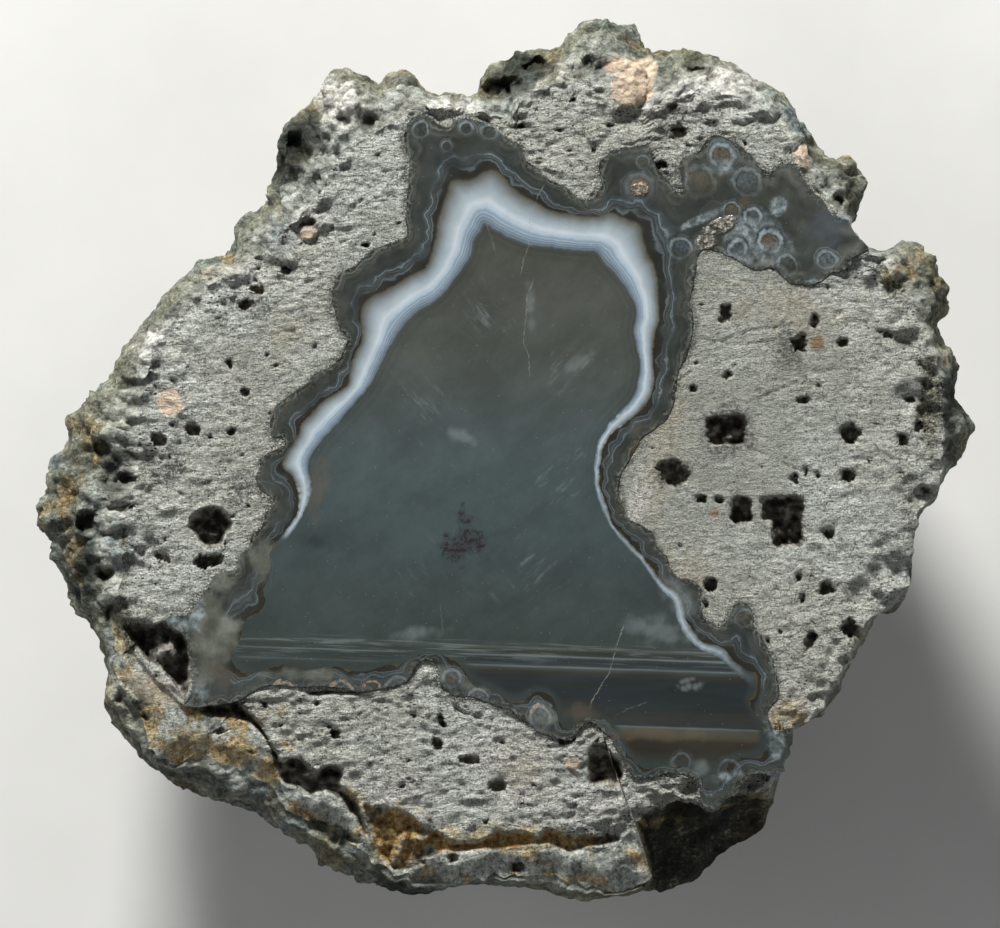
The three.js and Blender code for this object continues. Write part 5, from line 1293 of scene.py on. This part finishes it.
def rhyolite_finish():
    """Sawn rhyolite: grey-beige groundmass, flow ripples, pale and dark grains, stained pits; painted
    shade in pores, deepest pits and shade patches, and partly painted highlights in its pale specks.
    """
    f = Finish("sawn rhyolite", level=True)
    sink, rough = f.attribute("sink"), f.attribute("rough")
    stone, flow, grain, fine, pebble = stone_colours(f, rough)
    broad = f.noise(9, 3)
    warm = f.step(f.noise(14, 3, f.stretched(1, 1, 1, 40)), 0.42, 0.62)
    stone = f.paint(warm * 0.3, stone, (232, 222, 206), "MULTIPLY")
    stone = f.wash(0.9, stone, broad, [(0.3, (238, 238, 236)), (0.7, (255, 255, 255))], "MULTIPLY")

    rim = f.attribute("under") + f.noise(1.1, 4) * 1.2 + broad * 1.6 - 1.4
    halo = f.step(rim, -0.8, -0.05)
    stone = f.wash(halo * 0.75, stone, grain * 0.5 + fine * 0.5,
                   [(0.38, (24, 24, 20)), (0.46, (70, 71, 64)), (0.53, (124, 125, 116)),
                    (0.61, (204, 203, 192))])
    pale = f.attribute("pale")
    chalk = f.ramp(grain * 0.6 + fine * 0.4, [(0.36, (126, 124, 116)), (0.46, (198, 196, 188)),
                                              (0.56, (250, 249, 245))])
    stone = f.paint(pale * 0.6, stone, chalk)
    beige = f.attribute("beige")
    stone = f.wash(beige * 0.6, stone, grain,
                   [(0.34, (148, 141, 122)), (0.48, (188, 181, 160)), (0.62, (212, 206, 187))])
    dusky = f.attribute("dusky") * f.step(grain, 0.6, 0.42)
    stone = f.paint(dusky * 0.75, stone, (72, 74, 70))
    stone = f.paint(f.attribute("dusky") * 0.3, stone, (106, 108, 104))
    blue = f.attribute("blue")
    stone = f.wash(blue * 0.6, stone, grain, [(0.35, (84, 92, 94)), (0.65, (152, 161, 163))])
    cloud = grain * 0.55 + fine * 0.15 + f.noise(2.2, 4, None, 0.6) * 0.3
    skin = f.ramp(cloud, [(0.36, (82, 88, 83)), (0.46, (156, 162, 154)), (0.54, (198, 202, 193)),
                          (0.64, (248, 248, 240))])
    tawny = f.ramp(cloud, [(0.36, (88, 72, 40)), (0.46, (160, 136, 92)), (0.54, (202, 180, 132)),
                           (0.64, (238, 226, 194))])
    yellowing = f.step(f.noise(3.4, 4) - f.step(f.x, -32, -10) * 0.12, 0.4, 0.56)
    crust = f.attribute("crust")
    stone = f.paint(crust * 0.92, stone, f.paint(yellowing, skin, tawny))
    weathered = f.ramp(grain * 0.6 + cloud * 0.4,
                       [(0.37, (40, 41, 30)), (0.45, (84, 85, 66)), (0.52, (124, 123, 100)),
                        (0.6, (174, 170, 146)), (0.68, (224, 219, 198))])
    stone = f.paint(f.attribute("rindy") * 0.9, stone, weathered)
    buff = f.attribute("crustpale")
    stone = f.wash(buff * 0.7, stone, grain,
                   [(0.3, (154, 142, 116)), (0.5, (200, 192, 172)), (0.7, (226, 222, 208))])
    tan = f.attribute("tan")
    stone = f.wash(tan, stone, grain, [(0.3, (128, 106, 78)), (0.7, (168, 146, 118))])
    salmon = f.attribute("salmon")
    flesh = f.ramp(grain * 0.5 + fine * 0.5, [(0.34, (206, 178, 148)), (0.5, (242, 220, 194)),
                                              (0.66, (252, 240, 222))])
    stone = f.paint(salmon, stone, flesh)
    ochre = f.attribute("ochre") * f.step(f.noise(1.6, 5), 0.36, 0.56)
    stone = f.wash(ochre * 0.75, stone, grain,
                   [(0.34, (150, 124, 76)), (0.5, (208, 186, 134)), (0.64, (246, 236, 202))])
    # Painted shade patches along the rim of the face.
    shade = f.attribute("shade")
    stone = f.paint(shade * 0.95, stone, (108, 114, 110), "MULTIPLY")

    # Pores painted dark as shade: those that sink into the face, and finer dark dots among the rough
    # stone.
    pores = f.step(f.cells(0.7, f.stretched(0.7, 1.3, 1)), 0.22, 0.12) * f.step(f.noise(3, 3), 0.5, 0.6)
    small_pores = pores * rough * (1 - salmon) * (1 - crust) * 0.7
    dark = f.higher(f.step(f.attribute("pores"), 0.4, 0.9) * 0.7, small_pores)
    stone = f.paint(dark, stone, (70, 66, 58))
    lively = f.step(rough, 0.1, 0.7) * (1 - crust * 0.6)
    # White specks: pale grains, partly painted highlights on the rough stone.
    stone = f.paint(f.step(fine, 0.6, 0.7) * lively * 0.7, stone, (255, 254, 250))
    stone = f.paint(f.step(fine, 0.38, 0.28) * (0.25 + lively * 0.3), stone, (70, 70, 62))
    pebbly = f.step(pebble, 0.62, 1.0) * f.step(rough, 0.3, 1.1) * (1 - crust) * 0.3
    stone = f.paint(pebbly, stone, (96, 93, 85))
    depth = f.step(sink + fine * 0.3, 0.4, 0.9)
    lining = f.ramp(f.noise(1.1, 5, None, 0.55), [(0.34, (62, 59, 49)), (0.46, (104, 100, 88)),
                                                  (0.54, (144, 139, 125)), (0.64, (206, 201, 188))])
    honey = f.ramp(grain, [(0.35, (150, 100, 40)), (0.47, (212, 160, 78)), (0.56, (238, 204, 128)),
                           (0.66, (250, 236, 190))])
    lining = f.paint(f.attribute("ochre") * 0.85, lining, honey)
    lining = f.wash(pale * 0.85, lining, grain,
                    [(0.36, (150, 142, 112)), (0.5, (222, 214, 180)), (0.62, (250, 247, 232))])
    stone = f.paint(depth * 0.9, stone, lining)
    # Painted shade at the bottom of the deepest pits and hollows.
    stone = f.paint(f.step(sink, 1.6, 3.2) * 0.25, stone, (40, 34, 24))

    firm = 1 - crust * 0.2
    knobbly = (grain * (0.36 + rough * 0.5) - pebble * rough * 0.2 + flow * (0.15 + rough * 0.55)
               + fine * 0.2)
    skin = f.bump(knobbly * firm, 1.6)
    return f.finished({"Base Color": stone, "Roughness": 0.6 + grain * 0.3, "Normal": skin,
                       "Specular IOR Level": 0.35})


def rind_finish():
    """Rind: rough grey-green skin with chalky knobs, ochre washes and an agate seam; painted shade in
    its clefts and hollows, over its broken stretch, on its lower parts and in shade patches.
    """
    f = Finish("rind")
    drop, crevice = f.attribute("drop"), f.attribute("crevice")
    stone, _, grain, fine, pebble = stone_colours(f, f.noise(6, 3) * 0.6 + 0.7)
    clods = f.noise(2.6, 5, None, 0.62)
    mottle = grain * 0.45 + clods * 0.4 + fine * 0.15
    skin = f.ramp(mottle, [(0.34, (38, 38, 28)), (0.42, (82, 84, 69)), (0.49, (116, 118, 101)),
                           (0.55, (150, 151, 134)), (0.62, (196, 193, 176)), (0.7, (232, 228, 214))])
    cool = f.step(f.noise(11, 3), 0.44, 0.6)
    skin = f.wash(cool * 0.45, skin, grain,
                  [(0.36, (44, 58, 60)), (0.5, (92, 108, 108)), (0.62, (164, 176, 174))])
    rusty = f.step(f.noise(5, 4, f.stretched(1, 1, 1, 20)), 0.52, 0.66)
    skin = f.wash(rusty * 0.65, skin, grain,
                  [(0.34, (84, 72, 44)), (0.5, (136, 120, 82)), (0.62, (190, 176, 136))])
    skin = f.paint(f.step(drop + clods * 3 - 1.5, 3.0, 0.4) * 0.6, skin, stone)
    skin = f.wash(f.attribute("pale") * 0.65, skin, grain,
                  [(0.34, (132, 130, 120)), (0.46, (204, 202, 194)), (0.58, (250, 249, 244))])
    skin = f.wash(f.attribute("blue") * 0.6, skin, grain,
                  [(0.36, (56, 72, 78)), (0.5, (104, 122, 128)), (0.62, (164, 176, 180))])
    skin = f.wash(f.attribute("salmon"), skin, grain,
                  [(0.34, (188, 160, 132)), (0.5, (226, 204, 178)), (0.66, (244, 230, 212))])
    # Painted shade in the clefts between the knobs.
    skin = f.paint(crevice * 0.75, skin, (38, 37, 29))
    # Painted shade in the hollows of the rim.
    skin = f.wash(f.attribute("hollow") * 0.5, skin, grain,
                  [(0.36, (54, 53, 44)), (0.6, (112, 108, 92))])
    # Painted shade, nearly black, over the broken stretch of the rim.
    broken = f.attribute("broken")
    skin = f.wash(broken * 0.9, skin, mottle,
                  [(0.36, (10, 11, 8)), (0.47, (26, 26, 19)), (0.54, (54, 52, 40)),
                   (0.62, (140, 134, 110))])
    ochre = f.attribute("ochre") * f.step(f.noise(1.8, 5), 0.34, 0.54)
    skin = f.wash(ochre * 0.6, skin, grain,
                  [(0.36, (100, 80, 42)), (0.5, (158, 134, 84)), (0.62, (208, 190, 146))])
    # Painted shade patches where the rim lies deep and where it faces away from the light.
    skin = f.paint(f.attribute("shade") * 0.95, skin, (100, 108, 105), "MULTIPLY")
    pores = f.step(f.cells(1.3), 0.3, 0.12) * f.step(f.noise(3, 2), 0.46, 0.6)
    skin = f.paint(pores * 0.7, skin, (42, 40, 32))
    # Painted shade that deepens the lower the rind lies below the sawn face.
    low = f.step(drop, 7, 20)
    skin = f.wash(low * 0.5, skin, clods, [(0.3, (130, 126, 116)), (0.7, (214, 210, 200))], "MULTIPLY")
    agate = f.attribute("agate")
    skin = f.wash(agate, skin, clods, [(0.3, (84, 92, 92)), (0.7, (158, 168, 170))])
    knobbly = grain * 0.7 + clods * 0.6 - pebble * 0.3 + fine * 0.16
    grit = f.bump(knobbly, 1.2)
    return f.finished({"Base Color": skin, "Roughness": 0.85 - agate * 0.6, "Normal": grit,
                       "Specular IOR Level": 0.3})


# White band, from its outer line (0) to its inner line (1).
BAND_STOPS = [(0.0, (72, 70, 60)), (0.05, (90, 91, 84)), (0.12, (110, 115, 113)),
              (0.19, (128, 137, 140)), (0.27, (144, 156, 162)), (0.34, (157, 170, 177)),
              (0.42, (168, 181, 188)), (0.48, (184, 196, 203)), (0.53, (192, 203, 210)),
              (0.58, (180, 193, 202)), (0.64, (170, 187, 200)), (0.68, (150, 168, 182)),
              (0.715, (132, 150, 165)), (0.745, (158, 174, 187)), (0.78, (118, 135, 150)),
              (0.81, (142, 157, 171)), (0.845, (108, 124, 138)), (0.87, (128, 143, 155)),
              (0.90, (96, 110, 121)), (0.93, (110, 122, 132)), (0.96, (80, 89, 95)),
              (1.0, (72, 78, 77))]
# Outer chalcedony, from the rhyolite (0) to the white band (1).
OUTER_STOPS = [(0.0, (46, 47, 41)), (0.04, (108, 112, 105)), (0.08, (56, 59, 52)), (0.16, (74, 79, 74)),
               (0.22, (52, 55, 50)), (0.34, (62, 67, 64)), (0.46, (54, 59, 56)), (0.54, (72, 80, 82)),
               (0.57, (118, 130, 136)), (0.60, (58, 63, 63)), (0.65, (82, 90, 91)), (0.68, (50, 53, 52)),
               (0.74, (96, 105, 108)), (0.77, (48, 50, 48)), (0.86, (44, 44, 38)), (0.92, (52, 49, 40)),
               (0.97, (40, 37, 30)), (1.0, (80, 71, 54))]
# Level layers in the lower agate, by height above the lowest: colour, then how strongly each shows.
LAYER_SPAN = (-36.0, -19.0)
LAYERS = [(-36.0, (74, 80, 76), 0.8), (-33.4, (70, 76, 72), 0.85), (-32.0, (57, 60, 56), 0.9),
          (-30.6, (50, 47, 39), 0.95), (-29.6, (54, 50, 41), 0.95), (-29.0, (74, 72, 61), 0.95),
          (-28.35, (84, 86, 77), 0.95), (-28.15, (100, 108, 108), 0.95), (-28.05, (50, 56, 59), 0.95),
          (-27.2, (58, 58, 54), 0.9), (-26.0, (46, 52, 54), 0.92), (-24.5, (42, 49, 52), 0.92),
          (-23.2, (44, 49, 50), 0.92), (-22.6, (56, 56, 49), 0.9), (-22.25, (72, 78, 74), 0.9),
          (-22.08, (108, 120, 124), 0.95), (-21.95, (60, 67, 68), 0.9), (-21.5, (49, 56, 57), 0.85),
          (-21.12, (62, 70, 71), 0.85), (-20.98, (122, 134, 138), 0.95), (-20.84, (62, 67, 65), 0.85),
          (-20.45, (58, 58, 49), 0.8), (-20.25, (78, 85, 82), 0.75), (-20.1, (96, 103, 100), 0.7),
          (-19.9, (66, 73, 71), 0.5), (-19.6, (72, 78, 74), 0.25), (-19.3, (70, 77, 74), 0.0)]


def agate_finish():
    """Polished agate, worked out from the distances to its wall and to the two lines of the band."""
    f = Finish("polished agate", level=True)
    wall, outer, inner = f.attribute("wall"), f.attribute("outer"), f.attribute("inner")
    shiver = f.noise(1.1, 4) - 0.5
    tremble = f.noise(0.35, 3) - 0.5
    thickness = f.higher(outer - inner, 0.3)
    across = (outer + thickness * 0.1 + shiver * 0.28 + tremble * 0.10) / (thickness * 1.25)
    strength = f.attribute("band")
    haze = f.attribute("haze")

    # The clear window: brown-grey above, blue-grey below, clouded, feathered and dusted.
    clouds = f.noise(9, 7, f.stretched(1, 1.6, 1, 35), 0.68)
    level = (f.y + 26) / 52
    window = f.ramp(level, [(0.0, (56, 64, 62)), (0.12, (62, 71, 69)), (0.3, (68, 80, 80)),
                            (0.5, (75, 87, 89)), (0.72, (79, 84, 79)), (1.0, (78, 80, 72))])
    window = f.wash(0.6, window, clouds, [(0.34, (196, 196, 194)), (0.66, (255, 255, 255))], "MULTIPLY")
    lean_right = f.noise(1.2, 5, f.stretched(0.3, 1.5, 1, 44), 0.74)
    lean_left = f.noise(1.2, 5, f.stretched(0.3, 1.5, 1, 128), 0.74)
    side = f.step(f.x + f.noise(6, 2) * 6, 2, 6)
    feather = lean_left + (lean_right - lean_left) * side
    airy = f.attribute("feather") * f.step(f.noise(5, 3), 0.36, 0.6)
    window = f.paint(f.step(feather, 0.5, 0.78) * (0.02 + airy * 0.36), window, (138, 149, 150))
    near_band = f.ramp(inner / 3.2, [(0.0, 0.55), (0.05, 0.9), (0.10, 0.6), (0.17, 0.85), (0.24, 0.7),
                                     (0.34, 0.92), (0.44, 0.82), (0.6, 1.0), (1.0, 1.0)])
    window = f.paint(strength * 0.7, window, near_band, "MULTIPLY")

    # Level layers laid down below the window.
    tilted = f.y + f.x * 0.033 + (f.noise(2.6, 3) - 0.5) * 0.10
    low, high = LAYER_SPAN
    height = (tilted - low) / (high - low)
    places = [(place - low) / (high - low) for place, _, _ in LAYERS]
    layer = f.ramp(height, [(place, colour) for place, (_, colour, _) in zip(places, LAYERS)])
    share = f.ramp(height, [(place, shown) for place, (_, _, shown) in zip(places, LAYERS)])
    patchy = f.noise(5, 4, f.stretched(0.35, 2.2, 1), 0.6)
    layer = f.wash(0.6, layer, patchy, [(0.34, (180, 176, 168)), (0.66, (255, 255, 255))], "MULTIPLY")
    fading = 0.45 + 0.55 * f.step(f.x + f.noise(7, 2) * 8, -8, 6)
    window = f.paint(share * f.step(inner, -0.6, 0.3) * fading, window, layer)
    wisps = f.noise(1.1, 4, f.stretched(0.16, 4.0, 1, -2), 0.6)
    shelf = f.step(tilted, -22.4, -20.6) * f.step(tilted, -19.2, -20.0)
    window = f.paint(shelf * f.step(wisps, 0.5, 0.66) * 0.5, window, (116, 126, 124))

    # White band over the window; it fades to clear grey where it is weak.
    band = f.ramp(across, BAND_STOPS)
    faint = f.paint(0.7, band, (74, 82, 79))
    seen = f.step(strength + shiver * 0.5, 0.1, 0.7)
    band = f.paint(seen, faint, band)
    band = f.wash(0.5, band, f.noise(2.4, 4),
                  [(0.3, (226, 226, 228)), (0.7, (255, 255, 255))], "MULTIPLY")
    beads = f.step(f.cells(0.75), 0.5, 0.2) * f.step(strength, 0.96, 0.8) * seen
    band = f.paint(beads * 0.45, band, (168, 180, 186))
    veil = f.step(strength, 0.04, 0.3)
    in_window = f.step(across, 0.97, 1.03)
    colour = f.paint((1 - in_window) * veil, window, band)

    # Outer chalcedony between the band and the rhyolite.
    bays = (f.cells(1.9) - 0.5) * 0.9
    share_out = (wall + bays + shiver * 0.35 + tremble * 0.2) / f.higher(wall - outer, 0.4)
    milk, warm, dark = f.attribute("milk"), f.attribute("warm"), f.attribute("dark")
    flecks = f.noise(0.9, 5, None, 0.65)
    drifts = f.noise(3.2, 4)
    calm = f.ramp(share_out,
                  [(0.0, (64, 66, 59)), (0.3, (60, 65, 61)), (0.6, (66, 72, 71)), (0.8, (50, 53, 50)),
                   (0.9, (46, 45, 38)), (0.97, (40, 37, 30)), (1.0, (80, 71, 54))])
    lined = f.step(f.noise(5, 3), 0.36, 0.54) * (0.85 - milk * 0.7) + 0.15
    chalcedony = f.wash(lined, calm, share_out, OUTER_STOPS)
    milky = f.ramp(flecks * 0.25 + drifts * 0.75, [(0.32, (96, 98, 88)), (0.46, (108, 111, 100)),
                                                   (0.54, (120, 123, 112)), (0.68, (140, 144, 136))])
    chalcedony = f.paint(milk * 0.68, chalcedony, milky)
    chalcedony = f.wash(0.8, chalcedony, drifts,
                        [(0.34, (206, 206, 204)), (0.66, (255, 255, 255))], "MULTIPLY")
    rough_rim = f.step(wall + flecks * 1.6, 1.7, 0.9)
    crumbs = f.step(f.noise(0.45, 4, None, 0.7), 0.52, 0.64)
    chalcedony = f.paint(crumbs * rough_rim * 0.55, chalcedony, (140, 144, 136))
    chalcedony = f.paint(f.step(flecks, 0.46, 0.36) * rough_rim * 0.7, chalcedony, (34, 36, 31))
    scallop = f.attribute("scallop") + tremble * 0.1
    rings = f.ramp(scallop, [(0.0, (88, 97, 100)), (0.3, (84, 92, 95)), (0.52, (70, 76, 74)),
                    (0.6, (130, 114, 98)), (0.66, (86, 80, 70)), (0.74, (108, 114, 112)),
                    (0.8, (60, 62, 59)), (0.86, (106, 114, 114)), (0.92, (66, 70, 69)),
                    (1.0, (76, 82, 80))])
    seam = f.step(scallop, 1.05, 0.95) * (0.16 + milk * 0.3) * f.step(drifts, 0.36, 0.52)
    chalcedony = f.paint(seam, chalcedony, rings)
    in_outer = f.step(across, 0.03, -0.03)
    colour = f.paint(in_outer, colour, chalcedony)
    colour = f.paint(warm * 0.26, colour, (116, 100, 76))
    colour = f.paint(dark * 0.45, colour, (34, 38, 40))

    # Patches: blue-white chalcedony, the purple-grey window, hazes and the puff.
    bluish = f.attribute("bluepale") * f.step(drifts, 0.25, 0.5)
    colour = f.wash(bluish * 0.7, colour, flecks,
                    [(0.36, (86, 96, 98)), (0.5, (120, 131, 134)), (0.62, (166, 177, 180))])
    colour = f.wash(f.attribute("purple") * 0.85, colour, clouds,
                    [(0.35, (64, 69, 74)), (0.65, (82, 88, 93))])
    rock = f.attribute("rock") * f.step(flecks, 0.34, 0.46)
    rubble = f.ramp(f.noise(0.5, 5, None, 0.7), [(0.32, (30, 28, 23)), (0.46, (84, 81, 72)),
                                                 (0.56, (132, 128, 116)), (0.68, (198, 194, 182))])
    colour = f.paint(rock * 0.9, colour, rubble)
    colour = f.paint(haze * (0.16 + feather * 0.3), colour, (138, 149, 150))
    puff = f.attribute("puff") * f.step(f.cells(0.8), 0.7, 0.15)
    colour = f.paint(puff * 0.5, colour, (122, 132, 131))

    # Orbs: rings about a core, each with its own tone.
    orb, turns = f.attribute("orb") + tremble * 0.16, f.attribute("orb_rings")
    white, tone = f.attribute("orb_white"), f.attribute("orb_tone")
    core = f.ramp(tone, [(tone_place(name), colour) for name, colour in ORB_TONES.items()])
    core = f.wash(0.8, core, f.noise(0.4, 4, None, 0.7),
                  [(0.36, (110, 106, 98)), (0.58, (255, 255, 255))], "MULTIPLY")
    plain = f.ramp(orb, [(0.0, (92, 96, 90)), (0.5, (74, 80, 76)), (0.85, (66, 71, 69)),
                    (0.93, (92, 100, 100)), (1.0, (66, 71, 69))])
    ringed = f.ramp(orb, [(0.0, (80, 85, 84)), (0.44, (74, 79, 78)), (0.5, (56, 59, 56)),
                     (0.6, (136, 147, 150)), (0.68, (146, 157, 160)), (0.76, (92, 102, 105)),
                     (0.82, (64, 69, 68)), (0.92, (88, 97, 100)), (1.0, (66, 71, 71))])
    ringed = f.wash(0.9, ringed, flecks, [(0.36, (170, 170, 168)), (0.58, (255, 255, 255))], "MULTIPLY")
    shell = f.paint(f.step(turns, 1.2, 1.8), plain, ringed)
    wave = f.maths("SINE", orb * 50, 0.0) * 0.5 + 0.5
    shell = f.paint(wave * f.step(turns, 2.4, 3) * 0.4, shell, (132, 142, 144))
    disc = f.paint(f.step(orb, 0.5, 0.44) * f.step(turns, 1.2, 1.8), shell, core)
    arcs = f.step(abs(orb - 0.70), 0.13, 0.05) * f.step(f.attribute("orb_up"), 0.1, 0.35)
    is_peach = f.step(abs(tone - tone_place("peach")), 0.05, 0.02)
    peach = arcs * is_peach * f.step(f.noise(0.5, 4), 0.4, 0.55)
    disc = f.paint(peach, disc, (196, 168, 142))
    lit = 0.3 + 0.7 * f.step(f.attribute("orb_up") + drifts - 0.5, -0.5, 0.3)
    colour = f.paint(f.step(orb, 1.04, 0.9) * (0.17 + white * 0.65) * lit, colour, disc)

    # Dendrite, cracks and dust.
    speck = f.step(f.noise(0.5, 4, None, 0.7), 0.42, 0.6)
    colour = f.paint(f.attribute("dendrite") * (0.3 + speck * 0.6), colour, (42, 30, 34))
    offset, reach = f.attribute("crack_side"), f.attribute("crack_strength")
    line = f.step(abs(offset + tremble * 0.3), 0.09, 0.0) * f.step(flecks, 0.36, 0.56)
    colour = f.paint(line * reach * 0.6, colour, (148, 148, 137))
    dust = f.step(f.cells(2.1), 0.035, 0.012) * f.step(drifts, 0.4, 0.6)
    colour = f.paint(dust * 0.3, colour, (160, 168, 166))

    relief = f.bump(rock * f.noise(0.5, 4), 0.35)
    polish = 0.16 + rock * 0.5 + f.noise(5, 3) * 0.05
    return f.finished({"Base Color": colour, "Roughness": polish, "Normal": relief, "IOR": 1.54,
                       "Coat Weight": 0.3, "Coat Roughness": 0.05})


def floor_finish():
    """Pale matt board."""
    f = Finish("pale board")
    board = f.ramp(f.noise(30, 4), [(0.3, (216, 216, 213)), (0.7, (226, 226, 223))])
    return f.finished({"Base Color": board, "Roughness": 0.85})


# ---- the scene ----------------------------------------------------------------------------------

rhyolite, rim = make_rhyolite()
rind = make_rind(rim)
agate = make_agate()
for piece, finish in ((rhyolite, rhyolite_finish()), (rind, rind_finish()), (agate, agate_finish())):
    piece.data.materials.append(finish)
    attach(piece, "root")
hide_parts("rhyolite_shell")
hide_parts("rhyolite_shell")
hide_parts("agate_core")

# Metres from here on.
BOARD_HALF = 1.2
LAMP_AIM = Vector((0, 0, 0.03))
CAMERA_OFFSET = (-0.00048, -0.000535)   # sideways from the origin
CAMERA_CLEARANCE = 1.189                # above the sawn face

signs = ((-1, -1), (1, -1), (1, 1), (-1, 1))
board = bpy.data.meshes.new("board")
board.from_pydata([(BOARD_HALF * a, BOARD_HALF * b, 0) for a, b in signs], [], [(0, 1, 2, 3)])
floor = bpy.data.objects.new("board", board)
bpy.context.scene.collection.objects.link(floor)
board.materials.append(floor_finish())


def soft_light(name, place, size, watts, colour=(1, 1, 1)):
    """Square lamp at a place, facing the middle of the stone."""
    data = bpy.data.lights.new(name, "AREA")
    data.shape, data.size, data.energy, data.color = "SQUARE", size, watts, colour
    lamp = bpy.data.objects.new(name, data)
    lamp.location = place
    lamp.rotation_euler = (LAMP_AIM - Vector(place)).to_track_quat("-Z", "Y").to_euler()
    lamp.visible_camera = False
    bpy.context.scene.collection.objects.link(lamp)


soft_light("key light", (-0.20, 0.80, 0.43), 0.2, 16.6, (1.0, 0.99, 0.97))
soft_light("near fill", (0.10, -0.75, 0.60), 0.5, 0.6, (0.96, 0.98, 1.0))
soft_light("left fill", (-0.80, 0.10, 0.50), 0.5, 1.2)
soft_light("right fill", (0.80, 0.05, 0.50), 0.5, 0.6)

world = bpy.data.worlds.new("room")
world.use_nodes = True
room = world.node_tree.nodes["Background"]
room.inputs["Color"].default_value = (0.96, 0.98, 1.0, 1.0)
room.inputs["Strength"].default_value = 0.12
bpy.context.scene.world = world

lens = bpy.data.cameras.new("camera")
lens.lens, lens.sensor_width = 400, 36
camera = bpy.data.objects.new("camera", lens)
camera.location = (*CAMERA_OFFSET, FACE_HEIGHT * MM + CAMERA_CLEARANCE)
bpy.context.scene.collection.objects.link(camera)
bpy.context.scene.camera = camera
bpy.context.scene.view_settings.view_transform = "Standard"
